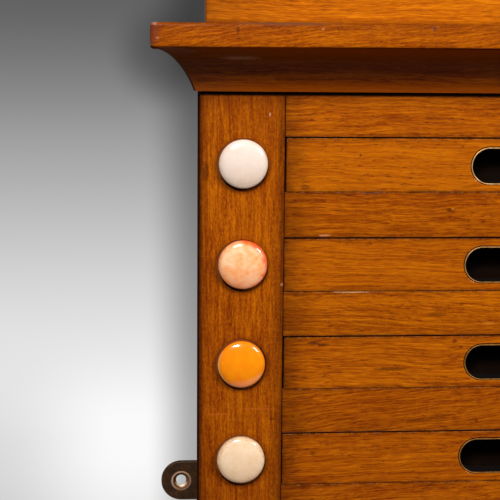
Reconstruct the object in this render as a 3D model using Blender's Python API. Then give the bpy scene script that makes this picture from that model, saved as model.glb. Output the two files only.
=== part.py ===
# A wall scoreboard for billiards, of the life pool kind, in oak.
# Each row has a glazed ceramic ball marker on the left stile, and an oak slider with a
# brass-lined finger slot that runs between fixed slats, in front of a black number board.
# Moving a slider to the right covers the numbers at the right-hand end of its row.
#
# Lengths are in metres. +X is right, +Y goes into the wall and +Z is up. The origin is the
# middle of the back of the frame, on the wall plane.

import math

import bmesh
import bpy
from mathutils import Vector

# Clearances and cuts
GAP = 0.0003  # between pieces that touch
OVERRUN = 0.0020  # how far a cut runs past the face that it starts from
ARRIS = 0.0004  # eased front edges

# Rows and sliders
ROW_COUNT = 8
SLAT_HEIGHT = 0.0238
SLIDER_FACE_HEIGHT = 0.0280
SLIDER_GAP_BELOW = 0.0003
SLIDER_GAP_ABOVE = 0.0005
SLIDER_LENGTH = 0.2514
SLIDER_DEPTH = 0.0130
SLIDER_SETBACK = 0.0003  # slider face behind the frame's face
SLIDER_TRAVEL = 0.1080
SLIDER_PLAY = 0.0022  # length to spare in a row, shared by the slider's two ends
REST_PLAY_SHARES = (0.82, 0.18, 0.64, 0.27, 0.45, 0.20, 0.70, 0.35)

# Finger slots and their brass liners
SLOT_LENGTH = 0.0560
SLOT_HEIGHT = 0.0176
LINER_WALL = 0.0010
LINER_DEPTH = 0.0110
SLOT_END_SIDES = 8

# Tongues, grooves and tenons
GROOVE_WIDTH = 0.0050
GROOVE_INSET = 0.0045  # from the frame's face to the near wall of a groove
SLAT_GROOVE_DEPTH = 0.0050
STILE_GROOVE_DEPTH = 0.0080
SLIDER_TONGUE = 0.0043

# Frame
STILE_WIDTH = 0.0440
FRAME_DEPTH = 0.0300
FRONT_LAYER_DEPTH = 0.0140  # the slats, and the frame in front of its rear rebate
REBATE_WIDTH = 0.0160
TOP_RAIL_SHOWN = 0.0230
BOTTOM_RAIL_HEIGHT = 0.03245
NUMBER_BOARD_THICKNESS = 0.0050
BACK_PLANK_COUNT = 2

# Cornice: a cove under a shelf
COVE_HEIGHT = 0.02185
COVE_TOP_PROJECTION = 0.0240
COVE_FOOT_PROJECTION = 0.0022
COVE_CURVE_POWER = 1.15
COVE_STEPS = 8
SHELF_THICKNESS = 0.0120
SHELF_PROJECTION = 0.0254
SHELF_ROUNDING = 0.0015

# Crest board on the shelf
CREST_THICKNESS = 0.0140
CREST_INSET = 0.0035  # from the frame's side to the crest's end
CREST_END_HEIGHT = 0.0340
CREST_CROWN_HEIGHT = 0.0720
CREST_CROWN_RISE = 0.0060
CREST_CORNER_RADIUS = 0.0080
CREST_SHOULDER_WIDTH = 0.0420
CREST_SWEEP_WIDTH = 0.0900
CREST_CORNER_STEPS = 3
CREST_SWEEP_STEPS = 8
CREST_CROWN_STEPS = 6

# Base board
BASE_THICKNESS = 0.0120
BASE_PROJECTION = 0.0100
BASE_ROUNDING = 0.0030

# Ball markers
DISC_DIAMETER = 0.0254
DISC_EDGE_HEIGHT = 0.0024
DISC_DOME_HEIGHT = 0.0036
DISC_FOOT_CHAMFER = 0.0006
DISC_RECESS_DEPTH = 0.0012
DISC_RECESS_MARGIN = 0.0008
STEM_DIAMETER = 0.0080
STEM_LENGTH = 0.0045
DISC_SIDES = 20
DOME_STEPS = 4

# Wall lugs
LUG_HEIGHT = 0.0220
LUG_THICKNESS = 0.0030
LUG_END_WOOD = 0.0040  # wood of the stile between a lug and the rear rebate
LUG_HOLE_OUT = 0.0087  # from the frame's side to the hole
LUG_HOLE_DIAMETER = 0.0060
LUG_SINK_DIAMETER = 0.0110
LUG_SINK_DEPTH = 0.0018
LUG_SCREW_SPACING = 0.0100
LUG_END_SIDES = 12
LUG_HOLE_SIDES = 16

# Wood screws, countersunk
SCREW_HEAD_DIAMETER = 0.0070
SCREW_SHANK_DIAMETER = 0.0035
SCREW_HEAD_DEPTH = 0.0020
SCREW_HEAD_RIM = 0.0004
SCREW_POINT_LENGTH = 0.0030
SCREW_SIDES = 8
LUG_SCREW_BITE = 0.0130
BACK_SCREW_BITE = 0.0080
FRAME_SCREW_BITE = 0.0180
BACK_SCREW_OUT = 0.0110  # from the frame's inner edge
FRAME_SCREW_INSET = 0.0080  # from the frame's face
CREST_SCREW_SHARE = 0.60  # of half the inner width, either side of the middle

# Sizes worked out from the ones above
ROW_OPENING = SLIDER_GAP_BELOW + SLIDER_FACE_HEIGHT + SLIDER_GAP_ABOVE
ROW_PITCH = ROW_OPENING + SLAT_HEIGHT
ROWS_HEIGHT = ROW_COUNT * ROW_OPENING + (ROW_COUNT - 1) * SLAT_HEIGHT
TOP_RAIL_HEIGHT = TOP_RAIL_SHOWN + COVE_HEIGHT
FRAME_HEIGHT = TOP_RAIL_HEIGHT + ROWS_HEIGHT + BOTTOM_RAIL_HEIGHT
FRAME_TOP = FRAME_HEIGHT / 2
INNER_X = (SLIDER_LENGTH + SLIDER_TRAVEL + SLIDER_PLAY) / 2
OUTER_X = INNER_X + STILE_WIDTH
FRONT_Y = -FRAME_DEPTH
FRONT_LAYER_BACK_Y = FRONT_Y + FRONT_LAYER_DEPTH
GROOVE_FRONT_Y = FRONT_Y + GROOVE_INSET
GROOVE_BACK_Y = GROOVE_FRONT_Y + GROOVE_WIDTH
TONGUE_FRONT_Y = GROOVE_FRONT_Y + GAP
TONGUE_BACK_Y = GROOVE_BACK_Y - GAP
SHELF_BOTTOM = FRAME_TOP + GAP
SHELF_TOP = SHELF_BOTTOM + SHELF_THICKNESS
BASE_TOP = -FRAME_TOP - GAP
BASE_BOTTOM = BASE_TOP - BASE_THICKNESS
NUMBER_BOARD_FRONT_Y = FRONT_LAYER_BACK_Y + GAP
BACK_BOARD_FRONT_Y = NUMBER_BOARD_FRONT_Y + NUMBER_BOARD_THICKNESS + GAP
BOARD_X = INNER_X + REBATE_WIDTH - GAP
BOARD_TOP = FRAME_TOP - TOP_RAIL_HEIGHT + REBATE_WIDTH - GAP
BOARD_BOTTOM = -FRAME_TOP + BOTTOM_RAIL_HEIGHT - REBATE_WIDTH + GAP
PLANK_PITCH = (BOARD_TOP - BOARD_BOTTOM + GAP) / BACK_PLANK_COUNT
PLANK_HEIGHT = PLANK_PITCH - GAP
LUG_LET_IN = STILE_WIDTH - REBATE_WIDTH - LUG_END_WOOD
LUG_SCREW_LENGTH = LUG_THICKNESS + LUG_SCREW_BITE
BACK_SCREW_LENGTH = BACK_SCREW_BITE - FRONT_LAYER_BACK_Y
SHELF_SCREW_LENGTH = SHELF_THICKNESS + FRAME_SCREW_BITE
BASE_SCREW_LENGTH = BASE_THICKNESS + FRAME_SCREW_BITE

# Directions
TOWARDS_FRONT = (0, -1, 0)
DOWN = (0, 0, -1)
UP = (0, 0, 1)

# Surfaces: colour, roughness, metallic
OAK = ((0.42, 0.13, 0.015), 0.35, 0.0)
DARK_OAK = ((0.20, 0.06, 0.010), 0.40, 0.0)
BACK_WOOD = ((0.30, 0.15, 0.060), 0.70, 0.0)
BLACK_PAINT = ((0.010, 0.009, 0.008), 0.50, 0.0)
BRASS = ((0.72, 0.50, 0.20), 0.30, 1.0)
BRONZED_BRASS = ((0.045, 0.030, 0.022), 0.45, 1.0)
DISC_SURFACES = (
    ((0.93, 0.88, 0.82), 0.12, 0.0),
    ((0.92, 0.52, 0.34), 0.12, 0.0),
    ((0.95, 0.32, 0.02), 0.12, 0.0),
    ((0.86, 0.66, 0.44), 0.12, 0.0),
    ((0.14, 0.05, 0.02), 0.12, 0.0),
    ((0.02, 0.06, 0.22), 0.12, 0.0),
    ((0.86, 0.30, 0.36), 0.12, 0.0),
    ((0.01, 0.01, 0.01), 0.12, 0.0),
)


def clear_scene():
    for item in list(bpy.data.objects):
        bpy.data.objects.remove(item, do_unlink=True)


def make_surface(name, surface):
    colour, roughness, metallic = surface
    material = bpy.data.materials.new(name + "_surface")
    material.use_nodes = True
    shader = material.node_tree.nodes["Principled BSDF"]
    shader.inputs["Base Color"].default_value = (*colour, 1.0)
    shader.inputs["Roughness"].default_value = roughness
    shader.inputs["Metallic"].default_value = metallic
    return material


def place(name, shape, surface=None, at=(0.0, 0.0, 0.0), smooth_angle=None):
    # Turns a finished bmesh into a named object
    bmesh.ops.recalc_face_normals(shape, faces=shape.faces)
    mesh = bpy.data.meshes.new(name)
    shape.to_mesh(mesh)
    shape.free()
    if smooth_angle is not None:
        mesh.shade_smooth()
        mesh.set_sharp_from_angle(angle=smooth_angle)
    piece = bpy.data.objects.new(name, mesh)
    piece.location = at
    if surface is not None:
        mesh.materials.append(make_surface(name, surface))
    bpy.context.scene.collection.objects.link(piece)
    return piece


def cut_away(piece, cuts):
    cutter = place(piece.name + "_cuts", cuts, at=piece.location)
    cutter.hide_render = True
    cutter.display_type = "WIRE"
    modifier = piece.modifiers.new("cuts", "BOOLEAN")
    modifier.operation = "DIFFERENCE"
    modifier.solver = "EXACT"
    modifier.object = cutter


def add_loft(shape, near, far):
    # Joins two matching loops of points into one closed solid
    near_loop = [shape.verts.new(point) for point in near]
    far_loop = [shape.verts.new(point) for point in far]
    shape.faces.new(near_loop)
    shape.faces.new(list(reversed(far_loop)))
    for index, corner in enumerate(near_loop):
        following = (index + 1) % len(near_loop)
        shape.faces.new((corner, near_loop[following], far_loop[following], far_loop[index]))


def add_prism_x(shape, outline, low, high):
    add_loft(shape, [(low, y, z) for y, z in outline], [(high, y, z) for y, z in outline])


def add_prism_y(shape, outline, low, high):
    add_loft(shape, [(x, low, z) for x, z in outline], [(x, high, z) for x, z in outline])


def add_prism_z(shape, outline, low, high):
    add_loft(shape, [(x, y, low) for x, y in outline], [(x, y, high) for x, y in outline])


def add_box(shape, x_range, y_range, z_range):
    (x_low, x_high), (y_low, y_high) = x_range, y_range
    outline = [(x_low, y_low), (x_high, y_low), (x_high, y_high), (x_low, y_high)]
    add_prism_z(shape, outline, *z_range)


def add_tube_y(shape, outer, inner, low, high):
    # Adds a ring between two matching outlines, along Y
    loops = [
        [shape.verts.new((x, y, z)) for x, z in outline]
        for outline, y in ((outer, low), (outer, high), (inner, high), (inner, low))
    ]
    for loop, next_loop in zip(loops, loops[1:] + loops[:1]):
        for index, corner in enumerate(loop):
            following = (index + 1) % len(loop)
            shape.faces.new((corner, loop[following], next_loop[following], next_loop[index]))


def add_turned(shape, profile, at, direction, sides):
    # Adds a turned solid. A profile point is a radius and a distance along the direction.
    turn = Vector((0, 0, 1)).rotation_difference(Vector(direction)).to_matrix()
    rings = []
    for radius, along in profile:
        ring = []
        for side in range(sides if radius > 0 else 1):
            angle = 2 * math.pi * side / sides
            local = Vector((radius * math.cos(angle), radius * math.sin(angle), along))
            ring.append(shape.verts.new(Vector(at) + turn @ local))
        rings.append(ring)
    for ring, next_ring in zip(rings, rings[1:]):
        for side in range(sides):
            following = side + 1
            corners = (
                ring[side % len(ring)],
                ring[following % len(ring)],
                next_ring[following % len(next_ring)],
                next_ring[side % len(next_ring)],
            )
            shape.faces.new(tuple(dict.fromkeys(corners)))


def ease_edges(shape, is_eased, width, segments=1):
    # Chamfers or rounds each edge whose two ends pass the test
    edges = [edge for edge in shape.edges if is_eased(edge.verts[0].co, edge.verts[1].co)]
    bmesh.ops.bevel(shape, geom=edges, offset=width, segments=segments, affect="EDGES", profile=0.5)


def same(first, second):
    return abs(first - second) < GAP / 10


def stadium(length, height, sides):
    # A slot with semicircular ends, round the origin
    points = []
    for side in (1, -1):
        for step in range(sides + 1):
            angle = math.pi * (step / sides - 0.5)
            x = length / 2 - height / 2 + height / 2 * math.cos(angle)
            points.append((side * x, side * height / 2 * math.sin(angle)))
    return points


def opening_top(row):
    return FRAME_TOP - TOP_RAIL_HEIGHT - row * ROW_PITCH


def opening_middle(row):
    return opening_top(row) - ROW_OPENING / 2


def slider_place(row):
    rest_gap = SLIDER_PLAY * REST_PLAY_SHARES[row % len(REST_PLAY_SHARES)]
    middle_z = opening_top(row) - SLIDER_GAP_ABOVE - SLIDER_FACE_HEIGHT / 2
    return Vector((-INNER_X + rest_gap + SLIDER_LENGTH / 2, FRONT_Y, middle_z))


def disc_place(row):
    return Vector((-INNER_X - STILE_WIDTH / 2, FRONT_Y + DISC_RECESS_DEPTH - GAP, opening_middle(row)))


def plank_middle(plank):
    return BOARD_BOTTOM + PLANK_PITCH * plank + PLANK_HEIGHT / 2


def lug_screws(side):
    # Either side of the middle of the length let in
    middle = OUTER_X - LUG_LET_IN / 2
    return [Vector((side * (middle + way * LUG_SCREW_SPACING / 2), 0, 0)) for way in (1, -1)]


def back_screw(side, plank):
    return Vector((side * (INNER_X + BACK_SCREW_OUT), 0, plank_middle(plank)))


def frame_screw(side, z):
    # A screw into the end of a stile, through the shelf or the base board
    return Vector((side * (INNER_X + STILE_WIDTH / 2), FRONT_Y + FRAME_SCREW_INSET, z))


def crest_screw(side):
    return Vector((side * INNER_X * CREST_SCREW_SHARE, -CREST_THICKNESS / 2, SHELF_BOTTOM))


def add_screw_hole(shape, at, direction, length):
    head = SCREW_HEAD_DIAMETER / 2 + GAP
    shank = SCREW_SHANK_DIAMETER / 2 + GAP
    profile = [
        (0, -OVERRUN),
        (head, -OVERRUN),
        (head, GAP + SCREW_HEAD_RIM + GAP),
        (shank, GAP + SCREW_HEAD_DEPTH + GAP),
        (shank, length + GAP),
        (0, length + GAP),
    ]
    add_turned(shape, profile, at, direction, SCREW_SIDES)


def build_screw(name, at, direction, length):
    head = SCREW_HEAD_DIAMETER / 2
    shank = SCREW_SHANK_DIAMETER / 2
    profile = [
        (0, GAP),
        (head, GAP),
        (head, GAP + SCREW_HEAD_RIM),
        (shank, GAP + SCREW_HEAD_DEPTH),
        (shank, length - SCREW_POINT_LENGTH),
        (0, length),
    ]
    shape = bmesh.new()
    add_turned(shape, profile, (0, 0, 0), direction, SCREW_SIDES)
    place(name, shape, BRASS, at=at, smooth_angle=math.radians(30))


def build_screws():
    for side, side_name in ((-1, "left"), (1, "right")):
        for number, at in enumerate(lug_screws(side), 1):
            name = "%s_lug_screw_%d" % (side_name, number)
            build_screw(name, at, TOWARDS_FRONT, LUG_SCREW_LENGTH)
        for plank in range(BACK_PLANK_COUNT):
            name = "%s_back_screw_%d" % (side_name, plank + 1)
            build_screw(name, back_screw(side, plank), TOWARDS_FRONT, BACK_SCREW_LENGTH)
        build_screw(side_name + "_shelf_screw", frame_screw(side, SHELF_TOP), DOWN, SHELF_SCREW_LENGTH)
        build_screw(side_name + "_base_screw", frame_screw(side, BASE_BOTTOM), UP, BASE_SCREW_LENGTH)
        build_screw(side_name + "_crest_screw", crest_screw(side), UP, SHELF_SCREW_LENGTH)


def build_stile(side):
    # Plan outline, in distances out from the stile's inner edge
    outline = [
        (0, FRONT_Y + ARRIS),
        (ARRIS, FRONT_Y),
        (STILE_WIDTH - ARRIS, FRONT_Y),
        (STILE_WIDTH, FRONT_Y + ARRIS),
        (STILE_WIDTH, 0),
        (REBATE_WIDTH, 0),
        (REBATE_WIDTH, FRONT_LAYER_BACK_Y),
        (0, FRONT_LAYER_BACK_Y),
        (0, GROOVE_BACK_Y),
        (STILE_GROOVE_DEPTH, GROOVE_BACK_Y),
        (STILE_GROOVE_DEPTH, GROOVE_FRONT_Y),
        (0, GROOVE_FRONT_Y),
    ]
    shape = bmesh.new()
    add_prism_z(shape, [(side * (INNER_X + out), y) for out, y in outline], -FRAME_TOP, FRAME_TOP)
    stile = place("left_stile" if side < 0 else "right_stile", shape, OAK)

    cuts = bmesh.new()
    lug_x = sorted((side * (OUTER_X - LUG_LET_IN - GAP), side * (OUTER_X + OVERRUN)))
    lug_z = LUG_HEIGHT / 2 + GAP
    add_box(cuts, lug_x, (-LUG_THICKNESS - GAP, OVERRUN), (-lug_z, lug_z))
    if side < 0:
        for row in range(ROW_COUNT):
            add_disc_recess(cuts, row)
    cut_away(stile, cuts)

    # A second cut, because the lug's screw holes open into its recess
    holes = bmesh.new()
    for at in lug_screws(side):
        add_screw_hole(holes, at, TOWARDS_FRONT, LUG_SCREW_LENGTH)
    for plank in range(BACK_PLANK_COUNT):
        add_screw_hole(holes, back_screw(side, plank), TOWARDS_FRONT, BACK_SCREW_LENGTH)
    add_screw_hole(holes, frame_screw(side, SHELF_TOP), DOWN, SHELF_SCREW_LENGTH)
    add_screw_hole(holes, frame_screw(side, BASE_BOTTOM), UP, BASE_SCREW_LENGTH)
    cut_away(stile, holes)


def add_disc_recess(cuts, row):
    at = disc_place(row)
    recess = DISC_DIAMETER / 2 + DISC_RECESS_MARGIN
    stem = STEM_DIAMETER / 2 + GAP
    profile = [
        (0, -STEM_LENGTH - GAP),
        (stem, -STEM_LENGTH - GAP),
        (stem, -GAP),
        (recess, -GAP),
        (recess, DISC_RECESS_DEPTH + OVERRUN),
        (0, DISC_RECESS_DEPTH + OVERRUN),
    ]
    add_turned(cuts, profile, at, TOWARDS_FRONT, DISC_SIDES)


def rail_outline():
    # Plan outline of a rail: tenons in the stiles' grooves and laps in their rebates
    shoulder = INNER_X - GAP
    tenon = INNER_X + STILE_GROOVE_DEPTH - GAP
    half = [
        (shoulder, FRONT_Y),
        (shoulder, TONGUE_FRONT_Y),
        (tenon, TONGUE_FRONT_Y),
        (tenon, TONGUE_BACK_Y),
        (shoulder, TONGUE_BACK_Y),
        (shoulder, NUMBER_BOARD_FRONT_Y),
        (BOARD_X, NUMBER_BOARD_FRONT_Y),
        (BOARD_X, 0),
    ]
    return half + [(-x, y) for x, y in reversed(half)]


def build_rail(name, bottom, top, row_edge, into_rail):
    # row_edge is the height of the edge that faces the rows, into_rail points from it
    shape = bmesh.new()
    add_prism_z(shape, rail_outline(), bottom, top)
    rail = place(name, shape, OAK)

    cuts = bmesh.new()
    cut_x = (-BOARD_X - OVERRUN, BOARD_X + OVERRUN)
    past_edge = row_edge - into_rail * OVERRUN
    groove_z = sorted((past_edge, row_edge + into_rail * SLAT_GROOVE_DEPTH))
    rebate_z = sorted((past_edge, row_edge + into_rail * REBATE_WIDTH))
    add_box(cuts, cut_x, (GROOVE_FRONT_Y, GROOVE_BACK_Y), groove_z)
    add_box(cuts, cut_x, (FRONT_LAYER_BACK_Y, OVERRUN), rebate_z)
    cut_away(rail, cuts)


def build_rails():
    top_edge = FRAME_TOP - TOP_RAIL_HEIGHT
    bottom_edge = -FRAME_TOP + BOTTOM_RAIL_HEIGHT
    build_rail("top_rail", top_edge, FRAME_TOP, top_edge, 1)
    build_rail("bottom_rail", -FRAME_TOP, bottom_edge, bottom_edge, -1)


def build_slat(row):
    # The fixed slat under a row, grooved above and below, with stub tenons at its ends
    shoulder = INNER_X - GAP
    tenon = INNER_X + STILE_GROOVE_DEPTH - GAP
    half = [
        (shoulder, FRONT_Y),
        (shoulder, TONGUE_FRONT_Y),
        (tenon, TONGUE_FRONT_Y),
        (tenon, TONGUE_BACK_Y),
        (shoulder, TONGUE_BACK_Y),
        (shoulder, FRONT_LAYER_BACK_Y),
    ]
    top = opening_top(row) - ROW_OPENING
    bottom = top - SLAT_HEIGHT
    shape = bmesh.new()
    add_prism_z(shape, half + [(-x, y) for x, y in reversed(half)], bottom, top)
    ease_edges(shape, lambda a, b: same(a.y, FRONT_Y) and same(b.y, FRONT_Y) and same(a.z, b.z), ARRIS)
    slat = place("slat_%d" % (row + 1), shape, OAK)

    cuts = bmesh.new()
    cut_x = (-tenon - OVERRUN, tenon + OVERRUN)
    groove_y = (GROOVE_FRONT_Y, GROOVE_BACK_Y)
    add_box(cuts, cut_x, groove_y, (top - SLAT_GROOVE_DEPTH, top + OVERRUN))
    add_box(cuts, cut_x, groove_y, (bottom - OVERRUN, bottom + SLAT_GROOVE_DEPTH))
    cut_away(slat, cuts)


def build_slider(row):
    # End profile about the slider's origin, which is its middle, in the frame's front plane
    front = SLIDER_SETBACK
    back = SLIDER_SETBACK + SLIDER_DEPTH
    tongue_front = TONGUE_FRONT_Y - FRONT_Y
    tongue_back = TONGUE_BACK_Y - FRONT_Y
    edge = SLIDER_FACE_HEIGHT / 2
    tip = edge + SLIDER_TONGUE
    half = [
        (front, edge - ARRIS),
        (front + ARRIS, edge),
        (tongue_front, edge),
        (tongue_front, tip),
        (tongue_back, tip),
        (tongue_back, edge),
        (back, edge),
    ]
    profile = half + [(y, -z) for y, z in reversed(half)]
    shape = bmesh.new()
    add_prism_x(shape, profile, -SLIDER_LENGTH / 2, SLIDER_LENGTH / 2)
    slider = place("slider_%d" % (row + 1), shape, OAK, at=slider_place(row))

    cuts = bmesh.new()
    around = 2 * (LINER_WALL + GAP)
    slot = stadium(SLOT_LENGTH + around, SLOT_HEIGHT + around, SLOT_END_SIDES)
    add_prism_y(cuts, slot, front - OVERRUN, back + OVERRUN)
    cut_away(slider, cuts)

    liner_shape = bmesh.new()
    outer = stadium(SLOT_LENGTH + 2 * LINER_WALL, SLOT_HEIGHT + 2 * LINER_WALL, SLOT_END_SIDES)
    inner = stadium(SLOT_LENGTH, SLOT_HEIGHT, SLOT_END_SIDES)
    add_tube_y(liner_shape, outer, inner, front, front + LINER_DEPTH)
    liner = place("slot_liner_%d" % (row + 1), liner_shape, BRASS, smooth_angle=math.radians(40))
    liner.parent = slider


def build_disc(row):
    # The marker turns about Y. Its origin is on the floor of its recess.
    radius = DISC_DIAMETER / 2
    stem = STEM_DIAMETER / 2
    profile = [
        (0, -STEM_LENGTH),
        (stem, -STEM_LENGTH),
        (stem, 0),
        (radius - DISC_FOOT_CHAMFER, 0),
        (radius, DISC_FOOT_CHAMFER),
    ]
    for step in range(DOME_STEPS):
        angle = math.pi / 2 * step / DOME_STEPS
        profile.append((radius * math.cos(angle), DISC_EDGE_HEIGHT + DISC_DOME_HEIGHT * math.sin(angle)))
    profile.append((0, DISC_EDGE_HEIGHT + DISC_DOME_HEIGHT))
    shape = bmesh.new()
    add_turned(shape, profile, (0, 0, 0), TOWARDS_FRONT, DISC_SIDES)
    surface = DISC_SURFACES[row % len(DISC_SURFACES)]
    name = "ball_disc_%d" % (row + 1)
    place(name, shape, surface, at=disc_place(row), smooth_angle=math.radians(50))


def build_number_board():
    shape = bmesh.new()
    board_y = (NUMBER_BOARD_FRONT_Y, NUMBER_BOARD_FRONT_Y + NUMBER_BOARD_THICKNESS)
    add_box(shape, (-BOARD_X, BOARD_X), board_y, (BOARD_BOTTOM, BOARD_TOP))
    board = place("number_board", shape, BLACK_PAINT)
    cuts = bmesh.new()
    for side in (-1, 1):
        for plank in range(BACK_PLANK_COUNT):
            add_screw_hole(cuts, back_screw(side, plank), TOWARDS_FRONT, BACK_SCREW_LENGTH)
    cut_away(board, cuts)


def build_back_plank(plank):
    shape = bmesh.new()
    edges = (plank_middle(plank) - PLANK_HEIGHT / 2, plank_middle(plank) + PLANK_HEIGHT / 2)
    add_box(shape, (-BOARD_X, BOARD_X), (BACK_BOARD_FRONT_Y, 0), edges)
    board = place("back_plank_%d" % (plank + 1), shape, BACK_WOOD)
    cuts = bmesh.new()
    for side in (-1, 1):
        add_screw_hole(cuts, back_screw(side, plank), TOWARDS_FRONT, BACK_SCREW_LENGTH)
    cut_away(board, cuts)


def cove_profile():
    # Distances out from the frame, with heights: flat at the back and top, hollow in front
    foot = FRAME_TOP - COVE_HEIGHT
    points = [(GAP, FRAME_TOP), (GAP, foot)]
    for step in range(COVE_STEPS + 1):
        rise = 1 - (1 - step / COVE_STEPS) ** 2
        hollow = math.sqrt(1 - rise ** COVE_CURVE_POWER)
        out = COVE_TOP_PROJECTION - (COVE_TOP_PROJECTION - COVE_FOOT_PROJECTION) * hollow
        points.append((out, foot + COVE_HEIGHT * rise))
    return points


def build_coves():
    # Three lengths of cove, mitred at the front corners
    profile = cove_profile()
    mitre = GAP / math.sqrt(2)
    smooth_angle = math.radians(35)
    front = bmesh.new()
    ends = [
        [(side * (OUTER_X + out - mitre), FRONT_Y - out, z) for out, z in profile]
        for side in (-1, 1)
    ]
    add_loft(front, *ends)
    place("cornice_cove_front", front, DARK_OAK, smooth_angle=smooth_angle)
    for name, side in (("cornice_cove_left", -1), ("cornice_cove_right", 1)):
        shape = bmesh.new()
        near = [(side * (OUTER_X + out), FRONT_Y - out + mitre, z) for out, z in profile]
        far = [(side * (OUTER_X + out), 0, z) for out, z in profile]
        add_loft(shape, near, far)
        place(name, shape, DARK_OAK, smooth_angle=smooth_angle)


def add_board(shape, projection, z_range, rounding):
    # A board across the frame, rounded on its front and ends
    reach = OUTER_X + projection
    add_box(shape, (-reach, reach), (FRONT_Y - projection, 0), z_range)
    ease_edges(shape, lambda a, b: not (same(a.y, 0) and same(b.y, 0)), rounding, segments=2)


def build_shelf():
    shape = bmesh.new()
    add_board(shape, SHELF_PROJECTION, (SHELF_BOTTOM, SHELF_TOP), SHELF_ROUNDING)
    shelf = place("cornice_shelf", shape, OAK, smooth_angle=math.radians(50))
    cuts = bmesh.new()
    for side in (-1, 1):
        add_screw_hole(cuts, frame_screw(side, SHELF_TOP), DOWN, SHELF_SCREW_LENGTH)
        add_screw_hole(cuts, crest_screw(side), UP, SHELF_SCREW_LENGTH)
    cut_away(shelf, cuts)


def build_base():
    shape = bmesh.new()
    add_board(shape, BASE_PROJECTION, (BASE_BOTTOM, BASE_TOP), BASE_ROUNDING)
    base = place("base_board", shape, OAK, smooth_angle=math.radians(50))
    cuts = bmesh.new()
    for side in (-1, 1):
        add_screw_hole(cuts, frame_screw(side, BASE_BOTTOM), UP, BASE_SCREW_LENGTH)
    cut_away(base, cuts)


def crest_half_outline():
    # From the foot at the end, up over the rounded corner and the sweep, to the crown
    end = OUTER_X - CREST_INSET
    corner_x = end - CREST_CORNER_RADIUS
    corner_z = CREST_END_HEIGHT - CREST_CORNER_RADIUS
    points = [(end, 0)]
    for step in range(CREST_CORNER_STEPS + 1):
        angle = math.pi / 2 * step / CREST_CORNER_STEPS
        x = corner_x + CREST_CORNER_RADIUS * math.cos(angle)
        points.append((x, corner_z + CREST_CORNER_RADIUS * math.sin(angle)))
    sweep_start = end - CREST_SHOULDER_WIDTH
    sweep_rise = CREST_CROWN_HEIGHT - CREST_END_HEIGHT
    for step in range(CREST_SWEEP_STEPS + 1):
        share = step / CREST_SWEEP_STEPS
        rise = (1 - math.cos(math.pi * share)) / 2
        points.append((sweep_start - CREST_SWEEP_WIDTH * share, CREST_END_HEIGHT + sweep_rise * rise))
    crown_half = sweep_start - CREST_SWEEP_WIDTH
    for step in range(1, CREST_CROWN_STEPS):
        share = 1 - step / CREST_CROWN_STEPS
        rise = math.cos(math.pi / 2 * share) ** 2
        points.append((crown_half * share, CREST_CROWN_HEIGHT + CREST_CROWN_RISE * rise))
    return points


def build_crest():
    half = crest_half_outline()
    middle = [(0, CREST_CROWN_HEIGHT + CREST_CROWN_RISE)]
    outline = half + middle + [(-x, z) for x, z in reversed(half)]
    foot = SHELF_TOP + GAP
    shape = bmesh.new()
    add_prism_y(shape, [(x, foot + z) for x, z in outline], -CREST_THICKNESS, 0)
    crest = place("crest_board", shape, OAK)
    cuts = bmesh.new()
    for side in (-1, 1):
        add_screw_hole(cuts, crest_screw(side), UP, SHELF_SCREW_LENGTH)
    cut_away(crest, cuts)


def build_lug(side):
    radius = LUG_HEIGHT / 2
    outline = [(-LUG_LET_IN, -radius)]
    for step in range(LUG_END_SIDES + 1):
        angle = math.pi * (step / LUG_END_SIDES - 0.5)
        outline.append((LUG_HOLE_OUT + radius * math.cos(angle), radius * math.sin(angle)))
    outline.append((-LUG_LET_IN, radius))
    shape = bmesh.new()
    plate = [(side * (OUTER_X + out), z) for out, z in outline]
    add_prism_y(shape, plate, -LUG_THICKNESS, 0)
    name = "left_wall_lug" if side < 0 else "right_wall_lug"
    lug = place(name, shape, BRONZED_BRASS)

    cuts = bmesh.new()
    hole = LUG_HOLE_DIAMETER / 2
    sink = LUG_SINK_DIAMETER / 2
    profile = [
        (0, -OVERRUN),
        (hole, -OVERRUN),
        (hole, LUG_THICKNESS - LUG_SINK_DEPTH),
        (sink, LUG_THICKNESS),
        (sink, LUG_THICKNESS + OVERRUN),
        (0, LUG_THICKNESS + OVERRUN),
    ]
    add_turned(cuts, profile, (side * (OUTER_X + LUG_HOLE_OUT), 0, 0), TOWARDS_FRONT, LUG_HOLE_SIDES)
    for at in lug_screws(side):
        add_screw_hole(cuts, at, TOWARDS_FRONT, LUG_SCREW_LENGTH)
    cut_away(lug, cuts)


def build_scoreboard():
    clear_scene()
    build_stile(-1)
    build_stile(1)
    build_rails()
    for row in range(ROW_COUNT):
        build_slider(row)
        build_disc(row)
    for row in range(ROW_COUNT - 1):
        build_slat(row)
    build_number_board()
    for plank in range(BACK_PLANK_COUNT):
        build_back_plank(plank)
    build_coves()
    build_shelf()
    build_crest()
    build_base()
    build_lug(-1)
    build_lug(1)
    build_screws()


build_scoreboard()
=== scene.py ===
import math

import bmesh
import bpy
from mathutils import Matrix, Vector, noise


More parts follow.
